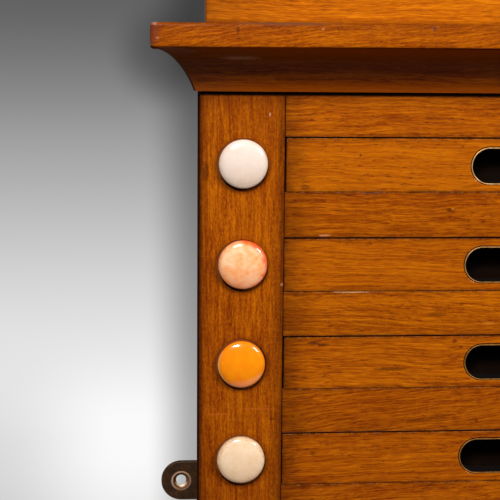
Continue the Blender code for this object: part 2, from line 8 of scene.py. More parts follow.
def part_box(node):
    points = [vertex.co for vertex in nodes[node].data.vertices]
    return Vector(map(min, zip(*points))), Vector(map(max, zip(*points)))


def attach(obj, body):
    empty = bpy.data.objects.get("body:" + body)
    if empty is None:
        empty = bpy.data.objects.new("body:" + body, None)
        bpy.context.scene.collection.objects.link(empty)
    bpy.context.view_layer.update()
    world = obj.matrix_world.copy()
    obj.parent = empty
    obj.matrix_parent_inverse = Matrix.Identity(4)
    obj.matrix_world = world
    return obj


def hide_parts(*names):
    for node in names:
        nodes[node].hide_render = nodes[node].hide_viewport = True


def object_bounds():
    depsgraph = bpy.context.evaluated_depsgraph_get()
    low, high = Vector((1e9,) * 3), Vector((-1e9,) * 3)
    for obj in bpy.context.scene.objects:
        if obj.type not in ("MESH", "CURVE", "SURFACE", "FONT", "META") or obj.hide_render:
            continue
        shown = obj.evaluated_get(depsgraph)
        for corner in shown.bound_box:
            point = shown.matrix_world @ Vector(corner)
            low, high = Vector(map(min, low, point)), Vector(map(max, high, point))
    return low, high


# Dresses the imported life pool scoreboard: varnished oak, glazed ball markers, brass-lined
# slots, gilt numerals and bronzed wall lugs. Metres; X right, Y into the wall, Z up.

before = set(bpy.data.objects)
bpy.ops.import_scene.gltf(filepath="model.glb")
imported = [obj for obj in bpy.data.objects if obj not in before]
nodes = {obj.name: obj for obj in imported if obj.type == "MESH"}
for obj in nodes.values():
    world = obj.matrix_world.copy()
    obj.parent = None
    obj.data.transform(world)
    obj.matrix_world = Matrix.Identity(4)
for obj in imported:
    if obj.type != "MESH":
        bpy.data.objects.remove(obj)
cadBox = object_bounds()
print("frame loaded:", len(nodes), "nodes")

mm = 0.001
rowCount = 8
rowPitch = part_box("slat_1")[0].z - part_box("slat_2")[0].z
stileLow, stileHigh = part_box("left_stile")
faceY = stileLow.y  # front of the frame
innerX = -stileHigh.x  # inner edge of the stiles, either side of the middle
outerX = -stileLow.x
frameTop = stileHigh.z
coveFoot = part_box("cornice_cove_front")[0].z
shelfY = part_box("cornice_shelf")[0].y  # front of the shelf


def middleOf(name):
    low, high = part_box(name)
    return (low + high) / 2


def title(finish, name):
    return finish + " " + name.replace("_", " ")


# Node helpers


def sRgb(red, green, blue):
    # A colour given 0 to 255, as Blender's own linear values
    def straight(share):
        return share / 12.92 if share <= 0.04045 else ((share + 0.055) / 1.055) ** 2.4
    return tuple(straight(part / 255) for part in (red, green, blue)) + (1.0,)


class NodeSheet:
    # Short calls for laying out nodes in one tree. A colour of three parts is one given 0 to 255.
    def __init__(self, tree):
        self.tree = tree

    def feed(self, socket, value):
        if isinstance(value, list):  # several links into one input
            for part in value:
                self.feed(socket, part)
        elif isinstance(value, bpy.types.NodeSocket):
            self.tree.links.new(value, socket)
        else:
            socket.default_value = sRgb(*value) if socket.type == "RGBA" and len(value) == 3 else value

    def add(self, kind, inputs=(), **settings):
        # Inputs are given by name, or else in order
        node = self.tree.nodes.new(kind)
        for name, value in settings.items():
            setattr(node, name, value)
        for label, value in inputs.items() if isinstance(inputs, dict) else enumerate(inputs):
            self.feed(node.inputs[label], value)
        return node

    def put(self, kind, inputs=(), output=0, **settings):
        return self.add(kind, inputs, **settings).outputs[output]

    def shape(self, kind, inputs=(), output=0, **settings):
        return self.put("GeometryNode" + kind, inputs, output, **settings)

    def calc(self, operation, *values, clamp=False):
        return self.put("ShaderNodeMath", values, operation=operation, use_clamp=clamp)

    def times(self, first, second):
        return self.calc("MULTIPLY", first, second)

    def timesPlus(self, first, second, third):
        return self.calc("MULTIPLY_ADD", first, second, third)

    def less(self, first, second):
        return self.calc("SUBTRACT", first, second)

    def vector(self, operation, *values):
        output = "Value" if operation in ("LENGTH", "DOT_PRODUCT") else "Vector"
        return self.put("ShaderNodeVectorMath", values, output, operation=operation)

    def combine(self, x, y, z):
        return self.put("ShaderNodeCombineXYZ", (x, y, z))

    def separate(self, value):
        return self.add("ShaderNodeSeparateXYZ", (value,)).outputs

    def radius(self, across, up):
        return self.vector("LENGTH", self.combine(across, 0.0, up))

    def noise(self, position, scale, detail=2.0, roughness=0.5, colour=False):
        # The scale may differ by axis
        if isinstance(scale, tuple):
            position, scale = self.vector("MULTIPLY", position, scale), 1.0
        inputs = {"Vector": position, "Scale": scale, "Detail": detail, "Roughness": roughness}
        return self.put("ShaderNodeTexNoise", inputs, "Color" if colour else "Fac")

    def stretch(self, value, low, high, toLow=0.0, toHigh=1.0, smooth=False):
        inputs = (value, low, high, toLow, toHigh)
        shape = "SMOOTHSTEP" if smooth else "LINEAR"
        return self.put("ShaderNodeMapRange", inputs, clamp=True, interpolation_type=shape)

    def mix(self, amount, first, second, blend="MIX"):
        inputs = {0: amount, 6: first, 7: second}
        return self.put("ShaderNodeMix", inputs, 2, data_type="RGBA", blend_type=blend, clamp_factor=True)

    def ramp(self, value, stops):
        node = self.add("ShaderNodeValToRGB", (value,))
        band = node.color_ramp
        while len(band.elements) < len(stops):
            band.elements.new(0.5)
        for element, (place, colour) in zip(band.elements, stops):
            element.position = place
            element.color = sRgb(*colour) if len(colour) == 3 else colour
        return node.outputs[0]

    def objectPlace(self):
        return self.put("ShaderNodeTexCoord", output="Object")


def setShader(material, values, bump=None):
    # Values for the Principled shader's inputs; a bump is its height, strength and depth
    sheet = NodeSheet(material.node_tree)
    shader = material.node_tree.nodes["Principled BSDF"]
    if bump:
        values["Normal"] = sheet.put("ShaderNodeBump", dict(zip(("Height", "Strength", "Distance"), bump)))
    for label, value in values.items():
        sheet.feed(shader.inputs[label], value)
    return material


def newMaterial(name, roughness=0.4, metallic=0.0, coat=0.0, coatRoughness=0.1, specular=0.5):
    material = bpy.data.materials.new(name)
    material.use_nodes = True
    setShader(material, {"Roughness": roughness, "Metallic": metallic, "Coat Weight": coat,
                         "Coat Roughness": coatRoughness, "Specular IOR Level": specular})
    return material, NodeSheet(material.node_tree)


def newGroup(name, kind, inputs, outputs):
    tree = bpy.data.node_groups.new(name, kind)
    for way, sockets in (("INPUT", inputs), ("OUTPUT", outputs)):
        for label, socketKind in sockets.items():
            tree.interface.new_socket(label, in_out=way, socket_type="NodeSocket" + socketKind)
    sheet = NodeSheet(tree)
    return tree, sheet, sheet.add("NodeGroupInput").outputs


# Oak: the grain runs along X of the position that the group gets, in metres

oakFigureLook = {
    # Each wave: how far the grain wanders across, and its scale along and across
    "waves": ((0.0060, (6.0, 16.0, 16.0)), (0.0018, (34.0, 60.0, 60.0))),
    # Each layer: scale along and across, detail, and the part of the noise that shows
    "layers": {
        "broad": ((7.0, 38.0, 38.0), 2.0, 0.30, 0.70),
        "ring": ((13.0, 620.0, 620.0), 2.0, 0.32, 0.68),
        "streak": ((36.0, 1050.0, 1050.0), 2.0, 0.34, 0.66),
        "fibre": ((230.0, 1900.0, 1900.0), 1.0, 0.32, 0.68),
        "pore": ((420.0, 1700.0, 1700.0), 1.0, 0.58, 0.68),
        "fleck": ((620.0, 130.0, 330.0), 1.0, 0.60, 0.74),
    },
    "roughness": 0.55,
    "start": 0.19,
    "shares": {"broad": 0.13, "ring": 0.18, "streak": 0.25, "fibre": 0.24},
    "colours": ((0.00, (86, 27, 1)), (0.28, (126, 50, 2)), (0.50, (156, 74, 3)), (0.74, (186, 98, 4)),
                (1.00, (214, 122, 10))),
    "poreColour": (78, 24, 2),
    "fleckColour": (206, 122, 34),
}


def makeOakFigure(look):
    inputs = {"Position": "Vector", "Reach": "Vector", "Wander": "Float", "Strength": "Float",
              "Pores": "Float", "Flecks": "Float", "Lift": "Float"}
    outputs = {"Colour": "Color", "Height": "Float", "Pore": "Float"}
    tree, sheet, given = newGroup("oakFigure", "ShaderNodeTree", inputs, outputs)
    place = given["Position"]
    for amount, scale in look["waves"]:
        wave = sheet.noise(place, scale, 1.0, colour=True)
        wave = sheet.vector("SUBTRACT", wave, (0.5, 0.5, 0.5))
        swing = sheet.times(given["Wander"], amount * 2)
        wave = sheet.vector("MULTIPLY", wave, sheet.combine(0.0, swing, swing))
        place = sheet.vector("ADD", place, wave)
    place = sheet.vector("MULTIPLY", place, given["Reach"])
    layers = {}
    for name, (scale, detail, low, high) in look["layers"].items():
        layers[name] = sheet.stretch(sheet.noise(place, scale, detail, look["roughness"]), low, high)
    figure = sheet.calc("ADD", given["Lift"], look["start"] + sum(look["shares"].values()) / 2)
    for name, share in look["shares"].items():
        swing = sheet.times(given["Strength"], share)
        figure = sheet.timesPlus(sheet.less(layers[name], 0.5), swing, figure)
    colour = sheet.ramp(figure, look["colours"])
    early = sheet.stretch(layers["ring"], 0.65, 0.25, 0.25, 1.0)  # pores crowd in the darker rings
    pore = sheet.times(layers["pore"], early)
    shown = sheet.calc("MULTIPLY", pore, given["Pores"], clamp=True)
    colour = sheet.mix(shown, colour, look["poreColour"])
    colour = sheet.mix(sheet.times(layers["fleck"], given["Flecks"]), colour, look["fleckColour"])
    height = sheet.timesPlus(layers["fibre"], 0.30, sheet.times(layers["streak"], 0.25))
    height = sheet.timesPlus(pore, -0.8, height)
    sheet.add("NodeGroupOutput", {"Colour": colour, "Height": height, "Pore": pore})
    return tree


oakFigure = makeOakFigure(oakFigureLook)

oakLook = {
    # grime and painted shade along arrises, seams and ends share one colour
    "grimeAndShadeColour": (58, 20, 2),
    "wearAndSheenWidth": 0.0006,
    "lineWidth": 0.0009,
    "grimeAndShadeWidth": 0.0030,
    "patchScale": 95.0,
    "streakScale": 420.0,
    "bump": (0.35, 0.00025),
}
boardLook = {
    # What a board's finish starts from; each board changes what it needs
    "grain": "X", "seed": 1.0, "slope": 0.6, "reach": 0.75, "spread": 1.0, "wander": 1.0,
    "strength": 1.0, "lift": -0.04, "tone": (1.0, 1.0, 1.0), "pores": 0.65, "flecks": 0.06,
    "wearAndSheen": 0.40, "wearAndSheenColour": (190, 124, 78), "lowerArrisShare": 0.35, "line": 0.45, "grimeAndShade": 0.40,
    "ends": 0.45, "endReach": 0.018, "coat": 0.30, "coatRoughness": 0.10, "specular": 0.04,
    "bands": (), "marks": (), "rows": None, "markerShadows": None,
}
bare = {"coat": 0.0, "specular": 0.0, "wearAndSheen": 0.0}  # where the varnish has gone dull


def grainPlace(sheet, place, look):
    # Position with the grain turned along X, and a board's own start in the log
    x, y, z = sheet.separate(place)
    turned = sheet.combine(*{"X": (x, z, y), "Y": (y, z, x), "Z": (z, x, y)}[look["grain"]])
    start = tuple(look["seed"] * share for share in (1.37, 0.61, 0.23))
    slope = (0.0, 0.0, math.radians(look["slope"]))
    return sheet.put("ShaderNodeMapping", {"Vector": turned, "Location": start, "Rotation": slope})


def rowPlaces(sheet, place, rows):
    # Boards that share one finish: each takes its own length of the log and its own tone
    number = sheet.put("ShaderNodeAttribute", output="Fac", attribute_name="boardNumber")

    def ofRow(values):
        count = len(values)
        stops = [((row - 0.4) / count if row else 0.0, (share, share, share, 1.0))
                 for row, share in enumerate(values)]
        steps = sheet.ramp(sheet.calc("DIVIDE", number, count), stops)
        steps.node.color_ramp.interpolation = "CONSTANT"
        return steps

    drop = sheet.times(number, rowPitch)
    along = sheet.vector("ADD", place, sheet.combine(sheet.times(number, rows["apart"]), 0.0, drop))
    place = sheet.vector("ADD", place, sheet.combine(0.0, 0.0, drop))
    climb = sheet.timesPlus(ofRow(rows["climbs"]), -2 * rows["tilt"], rows["tilt"])
    climb = sheet.times(climb, sheet.separate(place)[0])
    along = sheet.vector("ADD", along, sheet.combine(0.0, 0.0, climb))
    return place, along, sheet.timesPlus(ofRow(rows["lifts"]), rows["liftRange"], rows["lift"])


def boardEdges(sheet, place, low, high, grain):
    # Distance to the nearest arris of a board, and to its nearest end along the grain
    fromLow = sheet.vector("SUBTRACT", place, low)
    fromHigh = sheet.vector("SUBTRACT", high, place)
    parts = sheet.separate(sheet.vector("MINIMUM", fromLow, fromHigh))
    x, y, z = parts
    second = sheet.calc("MINIMUM", sheet.calc("MAXIMUM", x, y), z)
    return sheet.calc("MAXIMUM", sheet.calc("MINIMUM", x, y), second), parts["XYZ".index(grain)]


def makeOak(name, low, high, **changes):
    look = {**boardLook, **changes}
    material, sheet = newMaterial(name, coat=look["coat"], coatRoughness=look["coatRoughness"],
                                  specular=look["specular"])
    whole = place = along = sheet.objectPlace()
    lift = look["lift"]
    if look["rows"]:
        place, along, lift = rowPlaces(sheet, place, look["rows"])
    inputs = {"Position": grainPlace(sheet, along, look), "Wander": look["wander"], "Pores": look["pores"],
              "Reach": (look["reach"], look["spread"], look["spread"]), "Flecks": look["flecks"],
              "Strength": look["strength"], "Lift": lift}
    figure = sheet.add("ShaderNodeGroup", inputs, node_tree=oakFigure).outputs
    colour = sheet.mix(1.0, figure["Colour"], (*look["tone"], 1.0), blend="MULTIPLY")
    arris, end = boardEdges(sheet, place, low, high, look["grain"])
    patches = sheet.noise(place, oakLook["patchScale"], 3.0, 0.6)
    streaks = sheet.noise(place, oakLook["streakScale"], 2.0, 0.6)

    def darken(base, reach, width, amount, least=0.4):
        near = sheet.stretch(reach, 0.0, width, 1.0, 0.0, smooth=True)
        near = sheet.times(near, sheet.stretch(patches, 0.32, 0.62, amount * least, amount))
        return sheet.mix(near, base, oakLook["grimeAndShadeColour"])

    # Ends, arrises and a thin line along each arris darkened: grime, and painted shade where boards and
    # parts meet
    colour = darken(colour, end, look["endReach"], look["ends"], least=0.6)
    colour = darken(colour, arris, oakLook["grimeAndShadeWidth"], look["grimeAndShade"], least=0.15)
    if look["markerShadows"]:
        colour = addMarkerShadows(sheet, colour, place, look["markerShadows"])
    for part in look["bands"]:
        colour = addBand(sheet, colour, place, part, streaks)
    for mark in look["marks"]:
        colour = addMark(sheet, colour, whole, mark)
    colour = darken(colour, arris, oakLook["lineWidth"], look["line"])
    # Pale rubbed arrises, partly wear and partly painted sheen; the top arrises take more of it than the
    # lower ones, a painted highlight of the light from above
    middle = (low[2] + high[2]) / 2
    upper = sheet.stretch(sheet.separate(place)[2], middle - 2 * mm, middle + 2 * mm, look["lowerArrisShare"], 1.0)
    rubbedAndSheen = sheet.stretch(arris, 0.0, oakLook["wearAndSheenWidth"], 1.0, 0.0, smooth=True)
    rubbedAndSheen = sheet.times(rubbedAndSheen, sheet.stretch(streaks, 0.46, 0.62, 0.0, look["wearAndSheen"]))
    colour = sheet.mix(sheet.times(rubbedAndSheen, upper), colour, look["wearAndSheenColour"])
    rough = sheet.timesPlus(patches, 0.10, sheet.timesPlus(figure["Pore"], 0.20, 0.30))
    bump = (figure["Height"], *oakLook["bump"])
    return setShader(material, {"Base Color": colour, "Roughness": rough}, bump)


def band(axis, start, end, amount, colour, ragged=0.0, faceOnly=False):
    # A strip of another colour that fades from one level to another along an axis
    return {"axis": axis, "from": start, "to": end, "amount": amount, "colour": colour,
            "ragged": ragged, "faceOnly": faceOnly}


def onFace(sheet, place):
    # 1 on the frame's front and 0 behind it
    return sheet.stretch(sheet.separate(place)[1], faceY + 2 * mm, faceY + 4 * mm, 1.0, 0.0)


def addBand(sheet, colour, place, strip, cloud):
    level = sheet.separate(place)["XYZ".index(strip["axis"])]
    level = sheet.timesPlus(sheet.less(cloud, 0.5), strip["ragged"], level)
    amount = sheet.stretch(level, strip["from"], strip["to"], strip["amount"], 0.0, smooth=True)
    if strip["faceOnly"]:
        amount = sheet.times(amount, onFace(sheet, place))
    return sheet.mix(amount, colour, strip["colour"])


def fromMarker(sheet, place):
    # X and Z from the middle of the nearest ball marker
    x, y, z = sheet.separate(sheet.vector("SUBTRACT", place, middleOf("ball_disc_1")))
    return x, sheet.calc("WRAP", z, rowPitch / 2, -rowPitch / 2)


def addMarkerShadows(sheet, colour, place, rings):
    # Painted shadow round the ball markers, most of it below and to the right
    x, z = fromMarker(sheet, place)
    ring = sheet.stretch(sheet.radius(x, z), rings["inner"], rings["outer"], 1.0, 0.0, smooth=True)
    side = sheet.calc("DIVIDE", sheet.less(sheet.times(x, 0.5), z), rings["inner"])
    ring = sheet.times(ring, sheet.stretch(side, -1.0, 1.0, rings["least"], rings["most"]))
    return sheet.mix(sheet.times(ring, onFace(sheet, place)), colour, oakLook["grimeAndShadeColour"])


def spots(*rows, y=faceY, depth=0.0040):
    # Marks on a face at Y, each with its X and Z, its length and height, how strong it is and its colour
    return [{"at": (x, y, z), "size": (length, depth, height), "amount": amount, "colour": colour}
            for x, z, length, height, amount, colour in rows]


def addMark(sheet, colour, place, mark):
    # A small knot, dent or scuff: an uneven spot at a place on the board
    away = sheet.vector("DIVIDE", sheet.vector("SUBTRACT", place, mark["at"]), mark["size"])
    reach = sheet.less(sheet.vector("LENGTH", away), 0.45)
    reach = sheet.timesPlus(sheet.noise(place, 900.0), 0.9, reach)
    amount = sheet.stretch(reach, 0.45, 1.0, mark["amount"], 0.0, smooth=True)
    return sheet.mix(amount, colour, mark["colour"])


# Geometry helpers

weldGap = 0.000002  # points nearer than this become one
cadWeldGap = 0.000005
easeSteps = 3


def arc(middleX, middleZ, radiusX, radiusZ, start, end, steps):
    turns = [math.radians(start + (end - start) * step / steps) for step in range(steps + 1)]
    return [(middleX + radiusX * math.cos(turn), middleZ + radiusZ * math.sin(turn)) for turn in turns]


def stadium(length, height, steps=20):
    # A slot's outline in X and Z about the origin
    radius = height / 2
    run = length / 2 - radius
    return arc(run, 0.0, radius, radius, -90, 90, steps) + arc(-run, 0.0, radius, radius, 90, 270, steps)


def newPiece(name, mesh):
    piece = bpy.data.objects.new(name, mesh)
    bpy.context.scene.collection.objects.link(piece)
    return piece


def closeUp(shape, mesh):
    # Welds a shape, turns its faces outward and writes it to a mesh
    bmesh.ops.remove_doubles(shape, verts=shape.verts, dist=weldGap)
    bmesh.ops.recalc_face_normals(shape, faces=shape.faces)
    shape.to_mesh(mesh)
    shape.free()
    return mesh


def pieceFrom(name, shape):
    return newPiece(name, closeUp(shape, bpy.data.meshes.new(name)))


def addLoft(shape, rings, closed=False):
    # Faces through rings of points, capped at both ends unless the last ring meets the first
    loops = [[shape.verts.new(point) for point in ring] for ring in rings]
    if not closed:
        shape.faces.new(loops[0])
        shape.faces.new(loops[-1][::-1])
    for near, far in zip(loops, loops[1:] + loops[:1] if closed else loops[1:]):
        for index, corner in enumerate(near):
            following = (index + 1) % len(near)
            shape.faces.new((corner, near[following], far[following], far[index]))


def loft(name, rings):
    shape = bmesh.new()
    addLoft(shape, rings)
    return pieceFrom(name, shape)


def prism(name, outline, axis, low, high):
    # A closed solid from an outline in the other two axes, taken in their own order
    def point(a, b, along):
        return {"X": (along, a, b), "Y": (a, along, b)}[axis]
    return loft(name, [[point(a, b, along) for a, b in outline] for along in (low, high)])


def settle(piece):
    # Applies an object's modifiers and gives a plain one in its place
    name = piece.name
    graph = bpy.context.evaluated_depsgraph_get()
    mesh = bpy.data.meshes.new_from_object(piece.evaluated_get(graph))
    mesh.name = name
    bpy.data.objects.remove(piece)
    return newPiece(name, mesh)


def takeOut(piece, cutter):
    cut = piece.modifiers.new("cut", "BOOLEAN")
    cut.operation = "DIFFERENCE"
    cut.solver = "EXACT"
    cut.object = cutter
    done = settle(piece)
    bpy.data.objects.remove(cutter)
    return done


def smooth(piece, angle):
    piece.data.shade_smooth()
    piece.data.set_sharp_from_angle(angle=math.radians(angle))


def easeArrises(piece, width, limit=32):
    piece.data.shade_smooth()
    ease = piece.modifiers.new("ease", "BEVEL")
    ease.width = width
    ease.segments = easeSteps
    ease.limit_method = "ANGLE"
    ease.angle_limit = math.radians(limit)
    ease.use_clamp_overlap = True
    even = piece.modifiers.new("even", "WEIGHTED_NORMAL")
    even.keep_sharp = True
    return settle(piece)


def copyNode(name, pieceName):
    # A welded copy of a CAD node with its flat faces whole again
    shape = bmesh.new()
    shape.from_mesh(nodes[name].data)
    bmesh.ops.remove_doubles(shape, verts=shape.verts, dist=cadWeldGap)
    bmesh.ops.dissolve_limit(shape, angle_limit=math.radians(1), verts=shape.verts, edges=shape.edges)
    return pieceFrom(pieceName, shape)


def coat(piece, *materials):
    piece.data.materials.clear()
    for material in materials:
        piece.data.materials.append(material)


def fit(piece, body, slotName, *nodeNames):
    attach(piece, body)
    if nodeNames:
        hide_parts(*nodeNames)


# Geometry node helpers

quarterTurn = math.radians(90)
socketKinds = {int: "Int", float: "Float", tuple: "Vector", bpy.types.Material: "Material"}


def treeFor(name, layOut, settings):
    # Laid out once, with the settings' names as its inputs. Every tree ends the same way: real
    # geometry, one finish.
    if name not in bpy.data.node_groups:
        inputs = {label: socketKinds[type(value)] for label, value in settings.items()}
        inputs = {"Geometry": "Geometry", **inputs}
        tree, sheet, given = newGroup(name, "GeometryNodeTree", inputs, {"Geometry": "Geometry"})
        tree.is_modifier = True
        whole = sheet.shape("RealizeInstances", {"Geometry": layOut(sheet, given)})
        ended = sheet.shape("SetMaterial", {"Geometry": whole, "Material": given["Finish"]})
        sheet.add("NodeGroupOutput", {"Geometry": ended})
    return bpy.data.node_groups[name]


def growPiece(name, base, treeName, layOut, settings, smoothAngle=40):
    # Runs a tree on a base mesh and keeps its result as a plain mesh
    holder = newPiece(name, base)
    modifier = holder.modifiers.new("grow", "NODES")
    modifier.node_group = treeFor(treeName, layOut, settings)
    for item in modifier.node_group.interface.items_tree:
        if item.in_out == "INPUT" and item.name in settings:
            modifier[item.identifier] = settings[item.name]
    piece = settle(holder)
    shape = bmesh.new()
    shape.from_mesh(piece.data)
    closeUp(shape, piece.data)
    smooth(piece, smoothAngle)
    return piece


def polyline(name, runs):
    # A mesh of open runs of points, for a tree to turn into curves
    points = []
    edges = []
    for run in runs:
        edges += [(len(points) + step, len(points) + step + 1) for step in range(len(run) - 1)]
        points += run
    mesh = bpy.data.meshes.new(name)
    mesh.from_pydata(points, edges, [])
    return mesh


# Frame boards: stiles and rails

# Painted shadow round each ball marker on the left stile
markerShadowRings = {
    "inner": 0.0130,
    "outer": 0.0172,
    "least": 0.25,  # above and to the left
    "most": 0.75,
}
# Painted shadow: a near-black band on the frame under the cove's foot, and a softer painted shade below it
underCoveShadow = band("Z", coveFoot - 0.0016, coveFoot - 0.0030, 0.95, (24, 6, 1), 0.0006, faceOnly=True)
coveShade = band("Z", coveFoot - 0.0020, coveFoot - 0.0110, 0.40, (74, 28, 2), faceOnly=True)
stileLook = {"grain": "Z", "reach": 2.1, "spread": 0.80, "wander": 0.35, "lift": -0.11, "pores": 0.4,
             "flecks": 0.10, "wearAndSheen": 0.12}


def stileBands(side):
    # Both edges of each stile are darker; the lower stile is in painted shade where the light falls off,
    # and the top in painted shade below the cornice and the cove
    outer, inner = side * outerX, side * innerX
    return (
        band("Z", -0.0200, 0.0900, 0.22, (90, 34, 2)),
        band("Z", coveFoot, coveFoot - 0.0450, 0.22, (96, 38, 2), faceOnly=True),
        band("X", outer, outer - side * 0.0085, 0.42, (84, 32, 2), 0.0060),
        band("X", outer, outer - side * 0.0024, 0.72, (60, 22, 3), 0.0008),
        band("X", inner, inner + side * 0.0080, 0.50, (70, 26, 2), 0.0040),
        coveShade,
        underCoveShadow,
    )


stileMarks = spots(
    (-0.2216, 0.1740, 0.0022, 0.0070, 0.55, (66, 26, 2)),
    (-0.1887, 0.2035, 0.0006, 0.0016, 0.55, (206, 150, 120)),
    (-0.1814, 0.1149, 0.0012, 0.0013, 0.55, (196, 130, 86)),
    (-0.1859, 0.0423, 0.0022, 0.0010, 0.60, (70, 28, 4)),
    (-0.2140, 0.0453, 0.0085, 0.0009, 0.35, (190, 92, 26)),
    (-0.1935, 0.0480, 0.0115, 0.0008, 0.35, (190, 92, 26)),
    depth=0.0100,
)
frameBoards = {
    "left_stile": {**stileLook, "seed": 2.0, "slope": 0.5, "markerShadows": markerShadowRings, "bands": stileBands(-1),
                   "marks": stileMarks},
    "right_stile": {**stileLook, "seed": 5.0, "slope": -0.7, "bands": stileBands(1)},
    "top_rail": {"seed": 3.0, "slope": 0.4, "lift": -0.09, "bands": (coveShade, underCoveShadow)},
    "bottom_rail": {"seed": 4.0, "slope": -0.5},
}
frameArris = 0.0006
# The stiles' outer sides are greyer: partly dust, partly a painted reflection of the pale backdrop
greyedSideTone = (0.60, 0.60, 0.75)


def makeFrameBoards():
    for name, look in frameBoards.items():
        board = easeArrises(copyNode(name, name + "_oak"), frameArris)
        low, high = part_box(name)
        if name.endswith("_rail"):  # shown up to the stiles, with the tenons hidden
            low.x, high.x = -innerX, innerX
        coat(board, makeOak(title("oak", name), low, high, **look))
        if name.endswith("stile"):
            dull = {**look, **bare, "tone": greyedSideTone}
            board.data.materials.append(makeOak(title("dull oak", name), low, high, **dull))
            for face in board.data.polygons:
                atSide = abs(face.center.x) > outerX - 0.1 * mm
                face.material_index = int(atSide and abs(face.normal.x) > 0.9)
        fit(board, "frame", "oak_frame", name)
    print("stiles and rails done")


makeFrameBoards()

# Slats: one tree sweeps an outline along the board and repeats it down the rows

slatSetup = {
    "count": 7,
    "arris": 0.0005,
    "arrisSteps": 3,
    "endGap": 0.0003,
    "grooveFront": 0.0045,  # from the frame's face
    "grooveBack": 0.0095,
    "grooveDepth": 0.0050,
    "tenonPlay": 0.0006,
    "oak": {
        "seed": 11.0, "slope": 0.3, "ends": 0.5, "endReach": 0.024,
        "rows": {
            "apart": 3.71,  # along the log, from one slat to the next
            "lift": -0.13,
            "liftRange": 0.14,
            "lifts": (0.35, 0.74, 0.30, 0.00, 0.40, 0.50, 0.30),  # darkest 0, palest 1
            # How the grain climbs to the right, from 0 (falls) through 0.5 (level) to 1
            "climbs": (0.52, 0.46, 0.90, 0.78, 0.50, 0.35, 0.60),
            "tilt": 0.13,
        },
        "marks": spots(
            # Rubbed and bruised places along the arrises
            (-0.1453, 0.1107, 0.0130, 0.0006, 0.65, (236, 178, 122)),
            (-0.1594, 0.1409, 0.0042, 0.0006, 0.75, (214, 140, 90)),
            (-0.1350, 0.1631, 0.0080, 0.0009, 0.60, (96, 54, 40)),
            # Knots and darker grain
            (-0.0930, 0.1542, 0.0030, 0.0015, 0.80, (88, 38, 6)),
            (-0.0916, 0.1547, 0.0010, 0.0007, 0.70, (206, 120, 40)),
            (-0.0751, 0.1480, 0.0016, 0.0010, 0.70, (96, 42, 4)),
            (-0.0983, 0.0983, 0.0070, 0.0016, 0.65, (112, 50, 2)),
            (-0.0699, 0.0934, 0.0050, 0.0011, 0.50, (206, 124, 30)),
            (-0.0751, 0.0398, 0.0014, 0.0014, 0.75, (96, 40, 2)),
            (-0.1069, 0.0404, 0.0095, 0.0012, 0.60, (100, 42, 2)),
            (-0.0960, 0.0415, 0.0095, 0.0011, 0.55, (100, 42, 2)),
        ),
    },
}


def repeatRows(sheet, piece, count, pitch, first):
    # The same piece in every row, down from the first
    down = sheet.combine(0.0, 0.0, sheet.times(pitch, -1.0))
    rows = sheet.shape("MeshLine", {"Count": count, "Start Location": first, "Offset": down})
    return sheet.shape("InstanceOnPoints", {"Points": rows, "Instance": piece})


def laySlats(sheet, given):
    outline = sheet.shape("MeshToCurve", {"Mesh": given["Geometry"]})
    inputs = {"Curve": outline, "Count": given["Arris Steps"], "Radius": given["Arris"],
              "Limit Radius": True}
    eased = sheet.shape("FilletCurve", inputs, mode="POLY")
    face = sheet.shape("FillCurve", {"Curve": eased}, mode="NGONS")
    inputs = {"Mesh": face, "Offset": (0.0, 0.0, 1.0), "Offset Scale": given["Body Length"]}
    body = sheet.shape("JoinGeometry", [[sheet.shape("ExtrudeMesh", inputs), face]])
    start = sheet.combine(sheet.times(given["Body Length"], -0.5), 0.0, 0.0)
    # Length along X, outline in Y and Z
    inputs = {"Geometry": body, "Rotation": (quarterTurn, 0.0, quarterTurn), "Translation": start}
    turned = sheet.shape("Transform", inputs)
    size = sheet.combine(given["Tenon Length"], given["Tenon Depth"], given["Tenon Height"])
    tenon = sheet.shape("MeshCube", {"Size": size})
    tenon = sheet.shape("Transform", {"Geometry": tenon, "Translation": given["Tenon Middle"]})
    slat = sheet.shape("JoinGeometry", [[turned, tenon]])
    slats = repeatRows(sheet, slat, given["Slat Count"], given["Row Pitch"], given["First Middle"])
    inputs = {"Geometry": slats, "Name": "boardNumber", "Value": sheet.shape("InputIndex")}
    return sheet.shape("StoreNamedAttribute", inputs, data_type="FLOAT", domain="INSTANCE")


def makeSlats(setup):
    low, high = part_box("slat_1")
    middle = middleOf("slat_1")
    half = (high.z - low.z) / 2
    depth = high.y - low.y
    near, far, groove = setup["grooveFront"], setup["grooveBack"], half - setup["grooveDepth"]
    side = [(0.0, half), (near, half), (near, groove), (far, groove), (far, half), (depth, half)]
    ring = side + [(y, -z) for y, z in reversed(side)]
    outline = polyline("slatOutline", [[(y, z, 0.0) for y, z in ring + ring[:1]]])
    shownLow, shownHigh = Vector((-innerX, low.y, low.z)), Vector((innerX, high.y, high.z))
    settings = {
        "Slat Count": setup["count"], "Row Pitch": rowPitch, "Body Length": 2 * (innerX - setup["endGap"]),
        "Tenon Length": high.x - low.x, "Tenon Depth": far - near - setup["tenonPlay"],
        "Tenon Height": 2 * groove, "Tenon Middle": (0.0, (near + far) / 2, 0.0),
        "First Middle": (middle.x, low.y, middle.z), "Arris": setup["arris"],
        "Arris Steps": setup["arrisSteps"],
        "Finish": makeOak("oak slats", shownLow, shownHigh, **setup["oak"]),
    }
    slats = growPiece("slats", outline, "slatsByRow", laySlats, settings)
    fit(slats, "frame", "oak_slats", *["slat_%d" % (row + 1) for row in range(setup["count"])])
    print("slats done")


makeSlats(slatSetup)

# Sliders, each with its finger slot

